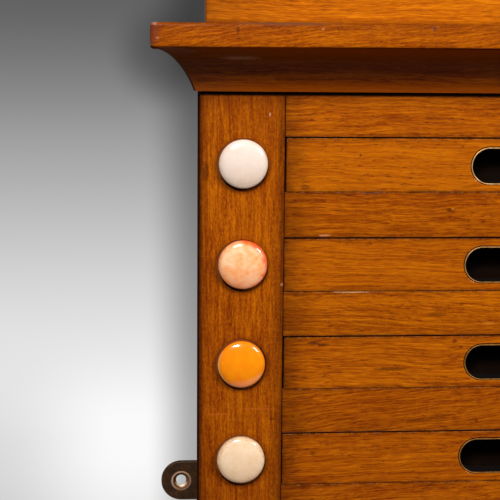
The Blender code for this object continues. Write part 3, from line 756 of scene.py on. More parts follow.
sliderShape = {
    "arris": 0.0005,
    "faceHeight": 0.0280,
    "topShy": 0.00025,  # planed a little low, which widens the dark running gap
    "tongueFront": 0.0045,  # from the slider's face
    "tongueBack": 0.0089,
    "slotLength": 0.0560,
    "slotHeight": 0.0176,
    "linerWall": 0.0010,
    "linerRoom": 0.0003,
    "overrun": 0.0020,
    "oak": {"reach": 0.62, "ends": 0.60, "endReach": 0.015},
}
sliderOak = {
    "slider_1": {"seed": 21.0, "lift": 0.03, "slope": 0.5, "strength": 0.74, "marks": spots(
        (-0.1411, 0.1827, 0.0010, 0.0010, 0.75, (84, 34, 4)),
        (-0.1507, 0.1860, 0.0011, 0.0006, 0.50, (96, 42, 4)),
        (-0.1700, 0.1660, 0.0030, 0.0018, 0.60, (96, 44, 10)),
    )},
    "slider_2": {"seed": 22.0, "lift": -0.03, "slope": -0.5, "strength": 0.80},
    "slider_3": {"seed": 23.0, "lift": -0.07, "slope": 0.7, "marks": spots(
        (-0.1643, 0.0834, 0.0046, 0.0011, 0.80, (72, 30, 10)),
        (-0.1594, 0.0822, 0.0046, 0.0011, 0.80, (72, 30, 10)),
        (-0.1229, 0.0688, 0.0110, 0.0015, 0.75, (96, 44, 6)),
        (-0.0883, 0.0837, 0.0017, 0.0015, 0.80, (104, 44, 4)),
        (-0.0847, 0.0804, 0.0015, 0.0013, 0.70, (104, 44, 4)),
    )},
    "slider_4": {"seed": 24.0, "lift": -0.09, "slope": -0.9, "strength": 0.88,
                 "marks": spots((-0.1636, 0.0231, 0.0024, 0.0013, 0.70, (90, 42, 4)))},
    "slider_5": {"seed": 25.0, "lift": -0.03, "slope": 0.4},
    "slider_6": {"seed": 26.0, "lift": -0.05, "slope": -0.6},
    "slider_7": {"seed": 27.0, "lift": -0.02, "slope": 0.8},
    "slider_8": {"seed": 28.0, "lift": -0.06, "slope": -0.4},
}
# Two sliders are a little longer at the left, and four finger slots were cut from their true
# places, along and up
longerLeft = {"slider_1": 0.0008, "slider_3": 0.0005}
slotCut = {"slider_1": (0.0, -0.0005), "slider_2": (-0.0006, -0.0003), "slider_3": (0.0, -0.0006),
           "slider_4": (-0.0004, 0.0)}


def slotMiddle(name, row):
    aside, up = slotCut.get("slider_%d" % row, (0.0, 0.0))
    return middleOf(name) + Vector((aside, 0.0, up))


def makeSliders(setup):
    half = setup["faceHeight"] / 2
    top = half - setup["topShy"]
    around = 2 * (setup["linerWall"] + setup["linerRoom"])
    slot = stadium(setup["slotLength"] + around, setup["slotHeight"] + around)
    for name, oak in sliderOak.items():
        low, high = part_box(name)
        left = low.x - longerLeft.get(name, 0.0)
        level = middleOf(name).z
        tip = (high.z - low.z) / 2
        near, far = low.y + setup["tongueFront"], low.y + setup["tongueBack"]
        side = [(low.y, half), (near, half), (near, tip), (far, tip), (far, half), (high.y, half)]
        ring = [(y, level + (top if z == half else z)) for y, z in side]
        ring += [(y, level - z) for y, z in reversed(side)]
        slider = prism(name + "_oak", ring, "X", left, high.x)
        middle = slotMiddle(name, int(name[-1]))
        hole = [(middle.x + x, middle.z + z) for x, z in slot]
        cutter = prism(name + "Cut", hole, "Y", low.y - setup["overrun"], high.y + setup["overrun"])
        slider = easeArrises(takeOut(slider, cutter), setup["arris"])
        shownLow, shownHigh = Vector((left, low.y, level - half)), Vector((high.x, high.y, level + top))
        coat(slider, makeOak(title("oak", name), shownLow, shownHigh, **setup["oak"], **oak))
        fit(slider, "shutter_" + name[-1], "oak_sliders", name)
    print("sliders done")


makeSliders(sliderShape)

# Brass liners: a lip swept round the slot

linerSetup = {
    "depth": 0.0110,
    "lip": 0.0003,
    "proud": 0.0001,
    "wallShare": 0.70,  # of the CAD liner's wall
    "widerShare": 0.60,
    "ringSteps": 24,
    "roundShare": 0.4999,  # of its height, just under half so that the two arcs don't meet
    # the black down inside the slot
    "paint": (11, 6, 4),
    "dulled": (0.46, 0.37, 0.20, 1.0),  # the lower rows' brass against the top row's
    "dulledFrom": 0.160,
    "dulledTo": 0.100,
}


metals = {
    "screw brass": {"scale": 260.0, "detail": 3.0, "roughness": 0.6, "rough": (0.48, 0.30),
                    "pits": 2400.0,
                    "tones": ((0.30, (150, 104, 50)), (0.55, (214, 164, 96)), (0.75, (236, 192, 128)))},
    "old gilt": {"scale": 420.0, "detail": 4.0, "roughness": 0.65, "rough": (0.55, 0.35),
                 "tones": ((0.30, (120, 76, 26)), (0.50, (204, 150, 62)), (0.72, (236, 190, 104)))},
}


def makeMetal(name):
    look = metals[name]
    material, sheet = newMaterial(name, metallic=1.0)
    place = sheet.objectPlace()
    cloud = sheet.noise(place, look["scale"], look["detail"], look["roughness"])
    values = {"Base Color": sheet.ramp(cloud, look["tones"]),
              "Roughness": sheet.stretch(cloud, 0.3, 0.7, *look["rough"])}
    bump = (sheet.noise(place, look["pits"]), 0.2, 0.00005) if "pits" in look else None
    return setShader(material, values, bump)


def makeLinerFinish(setup):
    # Bright brass on the lip, black from just behind it down inside the slot
    material, sheet = newMaterial("brass lip", metallic=0.45, specular=0.1)
    place = sheet.objectPlace()
    x, y, z = sheet.separate(place)
    cloud = sheet.noise(place, 300.0, 3.0, 0.6)
    brass = sheet.ramp(cloud, ((0.30, (186, 132, 80)), (0.55, (222, 168, 110)), (0.75, (238, 194, 142))))
    dulled = sheet.mix(1.0, brass, setup["dulled"], blend="MULTIPLY")
    lower = sheet.stretch(z, setup["dulledFrom"], setup["dulledTo"], smooth=True)
    brass = sheet.mix(lower, brass, dulled)
    wander = sheet.timesPlus(cloud, 0.0003, faceY + setup["proud"])
    deep = sheet.stretch(sheet.less(y, wander), 0.0, 0.0002)
    values = {"Base Color": sheet.mix(deep, brass, setup["paint"]),
              "Metallic": sheet.stretch(deep, 0.0, 1.0, 0.45, 0.0),
              "Roughness": sheet.timesPlus(deep, 0.45, 0.40)}
    return setShader(material, values, (sheet.noise(place, 2200.0), 0.25, 0.00006))


def sweep(sheet, path, profile, more=()):
    # A profile carried along a level path
    level = sheet.shape("SetCurveNormal", {"Curve": path}, mode="Z_UP")
    inputs = {"Curve": level, "Profile Curve": profile, **dict(more)}
    return sheet.shape("CurveToMesh", inputs)


def layLiner(sheet, given):
    # The path runs half a wall outside the slot
    length = sheet.calc("ADD", given["Slot Length"], given["Wall"])
    height = sheet.calc("ADD", given["Slot Height"], given["Wall"])
    path = sheet.shape("CurvePrimitiveQuadrilateral", {"Width": length, "Height": height})
    inputs = {"Curve": path, "Count": given["Steps"], "Radius": sheet.times(height, given["Round Share"])}
    path = sheet.shape("FilletCurve", inputs, mode="POLY")
    inputs = {"Width": given["Wall"], "Height": given["Depth"]}
    section = sheet.shape("CurvePrimitiveQuadrilateral", inputs)
    inputs = {"Curve": section, "Count": 4, "Radius": given["Lip"]}
    section = sheet.shape("FilletCurve", inputs, mode="POLY")
    inputs = {"Geometry": sweep(sheet, path, section), "Rotation": (quarterTurn, 0.0, 0.0),
              "Translation": given["Middle"]}
    return sheet.shape("Transform", inputs)


def makeLiners(setup):
    wall = sliderShape["linerWall"] * setup["wallShare"]
    wider = sliderShape["linerWall"] * setup["widerShare"]
    settings = {
        "Slot Length": sliderShape["slotLength"] + wider, "Slot Height": sliderShape["slotHeight"] + wider,
        "Wall": wall, "Depth": setup["depth"], "Lip": setup["lip"], "Steps": setup["ringSteps"],
        "Round Share": setup["roundShare"], "Finish": makeLinerFinish(setup),
    }
    for row in range(1, rowCount + 1):
        name = "slot_liner_%d" % row
        middle = slotMiddle(name, row)
        middle.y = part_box(name)[0].y + setup["depth"] / 2 - setup["proud"]
        settings["Middle"] = tuple(middle)
        seed = bpy.data.meshes.new(name + "Seed")
        liner = growPiece(name + "_brass", seed, "slotLiner", layLiner, settings)
        fit(liner, "shutter_%d" % row, "brass", name)
    print("liners done")


makeLiners(linerSetup)

# Ball markers: a turned dome of glazed ceramic

discSetup = {
    "steps": 72,
    "domeSteps": 20,
    "rise": 0.0036,
    "edgeHeight": 0.0024,
    "rimRound": 2.3,
    "footRound": 0.0005,
    "stemRadius": 0.0040,
    "weld": 0.000003,
}
# Each glaze's 'low' colour lies towards the bottom of the dome: partly the glaze's own, partly painted
# shade
glazes = {
    "white": {"body": (236, 216, 202), "cloud": (236, 211, 194), "rim": (222, 194, 172),
              "low": (214, 178, 146), "spots": 0.06, "coat": 0.8, "size": 1.005, "shift": (0.0005, 0.0002)},
    "peach": {"body": (250, 202, 156), "cloud": (250, 162, 92), "rim": (240, 136, 70),
              "low": (238, 118, 48), "spots": 0.22, "coat": 0.6, "size": 1.015, "shift": (0.0006, 0.0003),
              "crescent": (232, 74, 12)},
    "orange": {"body": (252, 147, 5), "cloud": (250, 136, 6), "rim": (240, 126, 20), "low": (238, 118, 6),
               "spots": 0.10, "size": 0.99, "shift": (0.0002, -0.0002), "paintedRimLight": (250, 186, 120)},
    "cream": {"body": (243, 211, 176), "cloud": (237, 199, 160), "rim": (216, 168, 122),
              "low": (222, 176, 132), "spots": 0.60, "coat": 0.30, "coatRoughness": 0.10, "size": 1.005,
              "shift": (0.0003, 0.0003)},
    "brown": {"body": (104, 50, 24), "cloud": (78, 34, 16), "rim": (128, 72, 40), "low": (70, 30, 12)},
    "blue": {"body": (28, 62, 126), "cloud": (20, 44, 98), "rim": (60, 96, 150), "low": (22, 44, 86)},
    "pink": {"body": (238, 140, 148), "cloud": (230, 116, 130), "rim": (240, 160, 150),
             "low": (214, 110, 104)},
    "black": {"body": (22, 20, 22), "cloud": (12, 11, 12), "rim": (48, 42, 40), "low": (20, 14, 12),
              "spots": 0.10},
}
glazeStart = {"spots": 0.20, "coat": 1.0, "coatRoughness": 0.04, "size": 1.0, "shift": (0.0, 0.0)}
discNames = ["ball_disc_%d" % (row + 1) for row in range(rowCount)]


def layMarker(sheet, given):
    # Turns an open run of (radius, height) points about Z, then lays it on its back
    run = sheet.shape("MeshToCurve", {"Mesh": given["Geometry"]})
    inputs = {"Resolution": given["Steps"], "Radius": given["Radius"]}
    circle = sheet.shape("CurvePrimitiveCircle", inputs, mode="RADIUS")
    inputs = {"Geometry": sweep(sheet, circle, run), "Distance": given["Weld"]}
    closed = sheet.shape("MergeByDistance", inputs)
    inputs = {"Geometry": closed, "Rotation": (-quarterTurn, 0.0, 0.0), "Translation": given["Place"]}
    return sheet.shape("Transform", inputs)


def makeGlaze(name, seed, middle, radius, look):
    material, sheet = newMaterial(title("glaze", name), roughness=0.22, coat=look["coat"],
                                  coatRoughness=look["coatRoughness"], specular=0.3)
    place = sheet.vector("SUBTRACT", sheet.objectPlace(), middle)
    x, y, z = sheet.separate(sheet.vector("DIVIDE", place, (radius,) * 3))
    seeded = sheet.vector("ADD", place, (seed * 0.37, seed * 0.19, 0.0))
    cloud = sheet.stretch(sheet.noise(seeded, 190.0, 3.0, 0.6), 0.40, 0.66)
    colour = sheet.mix(cloud, look["body"], look["cloud"])
    blot = sheet.noise(seeded, 240.0)
    across = sheet.radius(x, z)

    def edge(start, stop, amount):
        return sheet.times(sheet.stretch(across, start, stop, smooth=True), amount)

    # Towards the bottom of the dome: partly the glaze's own colour, partly painted shade
    low = sheet.times(sheet.stretch(z, 0.1, -1.0, 0.0, 0.75), sheet.stretch(blot, 0.36, 0.60, 0.55, 1.0))
    colour = sheet.mix(low, colour, look["low"])
    colour = sheet.mix(edge(0.80, 0.99, sheet.stretch(blot, 0.36, 0.60, 0.25, 0.9)), colour, look["rim"])
    if "crescent" in look:
        # The glaze ran thin and red round the upper right
        away = sheet.radius(sheet.calc("ADD", x, 0.20), sheet.calc("ADD", z, 0.10))
        away = sheet.timesPlus(blot, 0.30, away)
        amount = sheet.stretch(away, 1.06, 1.30, 0.0, 0.85, smooth=True)
        colour = sheet.mix(amount, colour, look["crescent"])
    # A painted highlight along the lower left rim
    if "paintedRimLight" in look:
        side = sheet.stretch(sheet.timesPlus(z, 0.7, x), -0.3, -0.9)
        colour = sheet.mix(edge(0.90, 0.97, sheet.times(side, 0.6)), colour, look["paintedRimLight"])
    specks = sheet.stretch(sheet.noise(seeded, 1400.0, 1.0), 0.64, 0.70, 0.0, look["spots"])
    specks = sheet.times(specks, sheet.stretch(across, 0.55, 0.9, 0.12, 1.0))
    colour = sheet.mix(specks, colour, (120, 84, 56))
    # Painted shade under the rim, most of it below and to the right
    side = sheet.less(sheet.times(x, 0.4), z)
    underRimShade = edge(0.95, 1.0, sheet.stretch(side, -0.4, 0.8, 0.12, 0.90))
    colour = sheet.mix(underRimShade, colour, (84, 34, 18))
    return setShader(material, {"Base Color": colour}, (sheet.noise(seeded, 160.0), 0.25, 0.0004))


def makeDiscs(setup):
    for number, (name, (colour, glaze)) in enumerate(zip(discNames, glazes.items()), 1):
        look = {**glazeStart, **glaze}
        low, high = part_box(name)
        middle = middleOf(name)
        aside, up = look["shift"]  # none was let in quite true
        radius = (high.z - low.z) / 2 * look["size"]
        floor = setup["edgeHeight"] + setup["rise"]
        stem = high.y - low.y - floor
        run = [(0.0, -stem), (setup["stemRadius"], -stem), (setup["stemRadius"], 0.0),
               (radius - setup["footRound"], 0.0), (radius, setup["footRound"])]
        for step in range(setup["domeSteps"] + 1):
            turn = math.pi / 2 * step / setup["domeSteps"]
            out = radius * math.cos(turn) ** (2 / setup["rimRound"])
            run.append((out, setup["edgeHeight"] + setup["rise"] * math.sin(turn)))
        points = [(out - radius, height, 0.0) for out, height in run]
        place = Vector((middle.x + aside, low.y + floor, middle.z + up))
        settings = {"Radius": radius, "Steps": setup["steps"], "Weld": setup["weld"], "Place": tuple(place),
                    "Finish": makeGlaze(name, number, place, radius, look)}
        base = polyline(name + "Run", [points])
        disc = growPiece(name + "_glazed", base, "turnedMarker", layMarker, settings, smoothAngle=50)
        fit(disc, "frame", "glaze_" + colour, name)
    print("ball markers done")


makeDiscs(discSetup)

beddingSetup = {
    "inner": 0.0123,
    "outer": 0.01352,
    "below": 0.0003,
    "thick": 0.0009,
    "steps": 72,
    "lit": (126, 66, 26),  # above and to the left
    "shaded": (42, 13, 5),
}


def makePolishLitAndShaded(setup):
    material, sheet = newMaterial("polish lit and shaded", roughness=0.5, specular=0.1)
    place = sheet.objectPlace()
    x, z = fromMarker(sheet, place)
    side = sheet.calc("DIVIDE", sheet.less(sheet.times(x, 0.8), z), setup["outer"])
    grit = sheet.noise(place, 700.0)
    side = sheet.timesPlus(sheet.less(grit, 0.5), 0.9, side)
    # Painted light above and to the left, painted shade below and to the right
    colour = sheet.mix(sheet.stretch(side, -0.9, 0.7, smooth=True), setup["lit"], setup["shaded"])
    return setShader(material, {"Base Color": colour}, (grit, 0.3, 0.00015))


def makeBedding(setup):
    # Polish and wax have filled the gap round each marker, coloured as painted light above and to the left
    # and painted shade below and to the right
    shape = bmesh.new()
    front = faceY + setup["below"]
    back = front + setup["thick"]
    section = ((setup["inner"], back), (setup["outer"], back), (setup["outer"], front),
               (setup["inner"], front + setup["below"]))
    for name in discNames:
        middle = middleOf(name)
        turns = arc(0.0, 0.0, 1.0, 1.0, 0, 360, setup["steps"])[:-1]
        rings = [[(middle.x + out * x, y, middle.z + out * z) for out, y in section] for x, z in turns]
        addLoft(shape, rings, closed=True)
    bedding = pieceFrom("marker_bedding", shape)
    smooth(bedding, 40)
    coat(bedding, makePolishLitAndShaded(setup))
    fit(bedding, "frame", "oak_frame")
    print("bedding round the markers done")


makeBedding(beddingSetup)

# Cornice: shelf, cove on three sides, crest and base board

shelfMarks = (
    # Greyed and pinkish along the top arris, partly wear and dust, partly painted sheen, then the dents and
    # scuffs
    *spots(
        (-0.1850, 0.2492, 0.0340, 0.0014, 0.90, (96, 62, 46)),
        (-0.2260, 0.2494, 0.0200, 0.0009, 0.80, (92, 58, 42)),
        y=shelfY, depth=0.0030,
    ),
    *spots((-0.2490, 0.2485, 0.0030, 0.0014, 0.75, (176, 116, 96)), y=shelfY + 0.0014, depth=0.0100),
    *spots((-0.2494, 0.2430, 0.0055, 0.0065, 0.65, (112, 52, 30)), y=shelfY + 0.0004, depth=0.0060),
    *spots(
        (-0.2465, 0.2412, 0.0012, 0.0008, 0.60, (186, 112, 62)),
        (-0.2073, 0.2455, 0.0012, 0.0024, 0.60, (78, 32, 8)),
        (-0.2070, 0.2410, 0.0016, 0.0012, 0.50, (96, 38, 4)),
        (-0.1098, 0.2470, 0.0008, 0.0022, 0.70, (70, 50, 46)),
        (-0.1655, 0.2463, 0.0009, 0.0006, 0.60, (206, 138, 90)),
        y=shelfY, depth=0.0060,
    ),
)
shelfBands = (
    band("Z", 0.2492, 0.2430, 0.42, (96, 36, 2), 0.0010),
    band("X", -0.2500, -0.2200, 0.30, (104, 38, 4), 0.0040),
)
edgeBoards = {
    "cornice_shelf": {
        "rounding": 0.0018, "lowRounding": 0.0007, "endRounding": 0.0022, "wear": 0.45, "droop": 0.0006,
        "oak": {"seed": 31.0, "lift": -0.10, "slope": -7.0, "reach": 1.3, "wearAndSheen": 0.8,
                "wearAndSheenColour": (118, 70, 46), "marks": shelfMarks, "ends": 0.35, "endReach": 0.006,
                "lowerArrisShare": 0.10, "line": 0.20, "grimeAndShade": 0.25, "coat": 0.14, "bands": shelfBands},
        # Where along X, how deep and how wide, on the top arris
        "dents": ((-0.2073, 0.0001, 0.0030), (-0.1462, 0.0003, 0.0024), (-0.1098, 0.0005, 0.0014),
                  (0.0550, 0.0007, 0.0016), (0.1710, 0.0005, 0.0012)),
    },
    "base_board": {
        "rounding": 0.0030, "lowRounding": 0.0030, "endRounding": 0.0030, "wear": 0.25, "droop": 0.0,
        "oak": {"seed": 32.0, "slope": -0.8, "wearAndSheen": 0.8},
        "dents": ((-0.0620, 0.0006, 0.0015), (0.1330, 0.0008, 0.0012)),
    },
}
edgeBoardStep = 0.0010
cornerSteps = 6
droopFrom, droopOver = 0.100, 0.150  # where the shelf's ends begin to drop, and over what length


def edgeBoardRing(x, inset, low, high, look):
    sag = look["droop"] * min(max((abs(x) - droopFrom) / droopOver, 0.0), 1.0)
    bottom, top = low.z + inset - sag, high.z - inset - sag
    ring = [(x, high.y, bottom), (x, high.y, top)]
    for side, level, rounding in ((1, top, look["rounding"]), (-1, bottom, look["lowRounding"])):
        rub = noise.noise((x * 75, side * 4.0, 0.0)) + 0.6 * noise.noise((x * 310, side * 9.0, 3.0))
        radius = rounding * (1 + look["wear"] * rub)
        dent = 0.0
        if side > 0:
            for place, depth, width in look["dents"]:
                dent += depth * math.exp(-((x - place) / width) ** 2)
        for step in range(cornerSteps + 1):
            share = step / cornerSteps
            turn = math.pi / 2 * (share if side > 0 else 1 - share)
            y = low.y + inset + radius * (1 - math.sin(turn)) + dent * 0.7
            ring.append((x, y, level - side * (radius * (1 - math.cos(turn)) + dent)))
    return ring


def makeEdgeBoards():
    # A board rounded on its front and ends, with its arrises rubbed unevenly and dented
    for name, look in edgeBoards.items():
        low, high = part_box(name)
        reach = look["endRounding"]
        run = high.x - low.x - 2 * reach
        # Places along X, and how far the section draws in there
        corner = arc(low.x + reach, reach, -reach, -reach, 0, 90, cornerSteps)
        count = round(run / edgeBoardStep)
        between = [(low.x + reach + run * step / count, 0.0) for step in range(1, count)]
        stations = corner + between + [(low.x + high.x - x, inset) for x, inset in reversed(corner)]
        board = loft(name + "_oak", [edgeBoardRing(x, inset, low, high, look) for x, inset in stations])
        smooth(board, 42)
        coat(board, makeOak(title("oak", name), low, high, **look["oak"]),
             makeOak(title("dull oak under", name), low, high, **{**look["oak"], **bare}))
        for face in board.data.polygons:
            face.material_index = int(face.normal.z < -0.6)
        fit(board, "frame", "oak_frame", name)
    print("shelf and base board done")


makeEdgeBoards()

coveSetup = {
    "steps": 28,
    "topOut": 0.0240,
    "footOut": 0.0022,
    "height": 0.02185,
    "power": 1.15,
    "gap": 0.0003,
    "oak": {
        # The cove's dark tone is partly painted shade under the shelf
        "lift": -0.12, "tone": (0.46, 0.40, 0.6), "pores": 0.3, "flecks": 0.03, "wearAndSheen": 0.10, "grimeAndShade": 0.2,
        "line": 0.3, "ends": 0.1, "specular": 0.0, "coatRoughness": 0.08,
        # A painted reflection of the white ball marker: a pale streak high on the cove
        "marks": spots((-0.2050, 0.2320, 0.0130, 0.0012, 0.36, (196, 142, 108)), y=-0.0480, depth=0.0200),
        # Painted light: the top of the cove lightened against its shade, the foot lit where light reaches
        # under the shelf, and the left end greyed as a painted reflection of the backdrop
        "bands": (band("Z", 0.2385, 0.2250, 0.62, (164, 80, 14)),
                  band("Z", coveFoot + 0.0006, coveFoot + 0.0062, 0.75, (134, 60, 5), 0.0012),
                  band("X", -0.2500, -0.1850, 0.30, (78, 52, 38))),
    },
    "pieces": {
        "cornice_cove_front": {"grain": "X", "seed": 41.0, "coat": 0.05},
        "cornice_cove_left": {"grain": "Y", "seed": 42.0, "coat": 0.02},
        "cornice_cove_right": {"grain": "Y", "seed": 43.0, "coat": 0.02},
    },
}


def coveProfile(setup):
    foot = frameTop - setup["height"]
    points = [(setup["gap"], frameTop), (setup["gap"], foot)]
    for step in range(setup["steps"] + 1):
        rise = 1 - (1 - step / setup["steps"]) ** 2
        hollow = math.sqrt(1 - rise ** setup["power"])
        out = setup["topOut"] - (setup["topOut"] - setup["footOut"]) * hollow
        points.append((out, foot + setup["height"] * rise))
    return points


def makeCoves(setup):
    profile = coveProfile(setup)
    mitre = setup["gap"] / 4
    for name, look in setup["pieces"].items():
        if name.endswith("front"):
            ends = [[(side * (outerX + out - mitre), faceY - out, z) for out, z in profile]
                    for side in (-1, 1)]
        else:
            side = -1 if name.endswith("left") else 1
            near = [(side * (outerX + out), faceY - out + mitre, z) for out, z in profile]
            ends = [near, [(x, 0.0, z) for x, y, z in near]]
        cove = loft(name + "_oak", ends)
        smooth(cove, 30)
        coat(cove, makeOak(title("shaded dark oak", name), *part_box(name), **look, **setup["oak"]))
        fit(cove, "frame", "dark_oak", name)
    print("coves done")


makeCoves(coveSetup)

crestSetup = {
    "endHeight": 0.0340,
    "crownHeight": 0.0720,
    "crownRise": 0.0060,
    "cornerRadius": 0.0080,
    "shoulder": 0.0420,
    "sweep": 0.0900,
    "cornerSteps": 8,
    "sweepSteps": 28,
    "crownSteps": 20,
    "arris": 0.0010,
    "footShade": 0.0038,
    "oak": {"seed": 51.0, "slope": 0.8, "lift": 0.09, "pores": 0.3, "ends": 0.35, "endReach": 0.050,
            "grimeAndShade": 0.25},
}


def crestOutline(setup, end):
    radius, shoulder, crown = setup["cornerRadius"], setup["endHeight"], setup["crownHeight"]
    half = [(end, 0.0), *arc(end - radius, shoulder - radius, radius, radius, 0, 90, setup["cornerSteps"])]
    start = end - setup["shoulder"]
    for step in range(setup["sweepSteps"] + 1):
        share = step / setup["sweepSteps"]
        climb = (1 - math.cos(math.pi * share)) / 2
        half.append((start - setup["sweep"] * share, shoulder + (crown - shoulder) * climb))
    for step in range(1, setup["crownSteps"]):
        share = 1 - step / setup["crownSteps"]
        rise = setup["crownRise"] * math.cos(math.pi / 2 * share) ** 2
        half.append(((start - setup["sweep"]) * share, crown + rise))
    return half + [(0.0, crown + setup["crownRise"])] + [(-x, z) for x, z in reversed(half)]


def makeCrest(setup):
    low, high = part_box("crest_board")
    outline = [(x, low.z + z) for x, z in crestOutline(setup, high.x)]
    crest = easeArrises(prism("crest_board_oak", outline, "Y", low.y, high.y), setup["arris"])
    foot = band("Z", low.z, low.z + setup["footShade"], 0.55, (86, 32, 2))
    coat(crest, makeOak("oak crest board", low, high, bands=(foot,), **setup["oak"]))
    fit(crest, "frame", "oak_frame", "crest_board")
    print("crest board done")


makeCrest(crestSetup)

# Number board with its gilt numerals, and the back planks

numberBoardArris = 0.0004


def makeBlackPaint():
    material, sheet = newMaterial("black paint", specular=0.03)
    place = sheet.objectPlace()
    wood = sheet.noise(place, (14.0, 500.0, 500.0), 3.0)
    rubs = sheet.stretch(sheet.noise(place, 60.0, 4.0, 0.7), 0.55, 0.80)
    values = {"Base Color": sheet.mix(rubs, (17, 8, 4), (26, 15, 9)),
              "Roughness": sheet.stretch(wood, 0.3, 0.7, 0.42, 0.62)}
    return setShader(material, values, (wood, 0.4, 0.0002))


def makeNumberBoard():
    board = easeArrises(copyNode("number_board", "number_board_painted"), numberBoardArris)
    coat(board, makeBlackPaint())
    fit(board, "frame", "black_paint", "number_board")


numeralSetup = {
    "height": 0.0170,
    "stroke": 0.0024,
    "thinShare": 0.38,
    "paint": 0.00010,
    "step": 0.0005,
    "cellWidth": 0.0360,
    "nibTurn": 35.0,
    "order": ("3", "2", "1"),
}


def numeralRuns():
    # Centre lines of the strokes in a box one high, about its middle
    steps = 14
    top = arc(0.0, 0.22, 0.24, 0.26, 165, -45, steps)
    upper = arc(-0.01, 0.25, 0.21, 0.23, 155, -80, steps)
    lower = arc(-0.02, -0.21, 0.25, 0.27, 85, -155, steps)
    return {
        "1": [[(-0.17, 0.30), (-0.05, 0.37), (0.03, 0.47), (0.03, -0.46)], [(-0.15, -0.48), (0.21, -0.48)]],
        "2": [top + [(0.02, -0.18), (-0.26, -0.46)],
              [(-0.26, -0.46), (-0.05, -0.43), (0.12, -0.48), (0.27, -0.38)]],
        "3": [upper + [(-0.06, 0.05)], [(-0.06, 0.05)] + lower],
    }


def layNumerals(sheet, given):
    # A broad nib drawn along each stroke, then the three numerals set in every row
    lines = sheet.shape("MeshToCurve", {"Mesh": given["Geometry"]})
    even = sheet.shape("ResampleCurve", {"Curve": lines, "Length": given["Step"]}, mode="LENGTH")
    tangent = sheet.shape("InputTangent")
    along = sheet.calc("ABSOLUTE", sheet.vector("DOT_PRODUCT", tangent, given["Nib Direction"]))
    inputs = {"Width": given["Stroke"], "Height": given["Paint"]}
    nib = sheet.shape("CurvePrimitiveQuadrilateral", inputs)
    more = {"Scale": sheet.stretch(along, 0.0, 1.0, 1.0, given["Thin Share"]), "Fill Caps": True}
    inputs = {"Geometry": sweep(sheet, even, nib, more), "Rotation": (quarterTurn, 0.0, 0.0)}
    upright = sheet.shape("Transform", inputs)
    return repeatRows(sheet, upright, given["Row Count"], given["Row Pitch"], given["First Row"])


def makeNumerals(setup):
    height, cell = setup["height"], setup["cellWidth"]
    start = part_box("slider_1")[1].x
    first = (start + innerX - cell * (len(setup["order"]) - 1)) / 2
    shapes = numeralRuns()
    runs = []
    for place, numeral in enumerate(setup["order"]):
        middle = first + cell * place
        runs += [[(middle + x * height, z * height, 0.0) for x, z in run] for run in shapes[numeral]]
    turn = math.radians(setup["nibTurn"])
    settings = {
        "Stroke": setup["stroke"], "Thin Share": setup["thinShare"], "Step": setup["step"],
        "Nib Direction": (math.cos(turn), math.sin(turn), 0.0), "Paint": setup["paint"],
        "Row Count": rowCount, "Row Pitch": rowPitch,
        "First Row": (0.0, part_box("number_board")[0].y, middleOf("slider_1").z),
        "Finish": makeMetal("old gilt"),
    }
    lines = polyline("numeralLines", runs)
    numerals = growPiece("gilt_numerals", lines, "giltNumerals", layNumerals, settings)
    fit(numerals, "frame", "brass")
    print("number board and numerals done")


makeNumberBoard()
makeNumerals(numeralSetup)

backSetup = {
    "arris": 0.0006,
    "waveScale": (5.0, 14.0, 14.0),
    "waves": (0.0, 0.022, 0.022),
    "ringScale": (2.5, 330.0, 330.0),
    "fibreScale": (40.0, 1400.0, 1400.0),
    "sawScale": (700.0, 10.0, 14.0),
    "colours": ((0.0, (132, 90, 52)), (0.5, (176, 130, 82)), (1.0, (196, 152, 102))),
    "fibreColour": (84, 54, 30),
    "stainColour": (70, 46, 28),
}


def makeDeal(name, seed, setup):
    # Bare softwood gone brown, with saw marks
    material, sheet = newMaterial(name, roughness=0.75, specular=0.3)
    place = sheet.vector("ADD", sheet.objectPlace(), (seed * 0.7, 0.0, seed * 1.3))
    wave = sheet.noise(place, setup["waveScale"], 1.0, colour=True)
    wave = sheet.vector("MULTIPLY", sheet.vector("SUBTRACT", wave, (0.5, 0.5, 0.5)), setup["waves"])
    place = sheet.vector("ADD", place, wave)
    rings = sheet.stretch(sheet.noise(place, setup["ringScale"]), 0.32, 0.68)
    fibre = sheet.noise(place, setup["fibreScale"])
    colour = sheet.ramp(rings, setup["colours"])
    colour = sheet.mix(sheet.stretch(fibre, 0.35, 0.65, 0.35, 0.0), colour, setup["fibreColour"])
    stain = sheet.stretch(sheet.noise(place, 22.0, 4.0, 0.65), 0.5, 0.75, 0.0, 0.55)
    colour = sheet.mix(stain, colour, setup["stainColour"])
    saw = sheet.noise(place, setup["sawScale"], 1.0)
    return setShader(material, {"Base Color": colour}, (sheet.calc("ADD", fibre, saw), 0.5, 0.0003))


def makeBackPlanks(setup):
    for number in (1, 2):
        name = "back_plank_%d" % number
        plank = easeArrises(copyNode(name, name + "_deal"), setup["arris"])
        coat(plank, makeDeal("bare deal %d" % number, number, setup))
        fit(plank, "frame", "back_wood", name)
    print("back planks done")


makeBackPlanks(backSetup)

# Wall lugs

lugSetup = {
    "height": 0.0220,
    "holeOut": 0.0087,
    "hole": 0.0056,
    "sink": 0.0100,
    "sinkDepth": 0.0018,
    "overrun": 0.0020,
    "endSteps": 40,
    "holeSteps": 64,
    "arris": 0.0006,
}


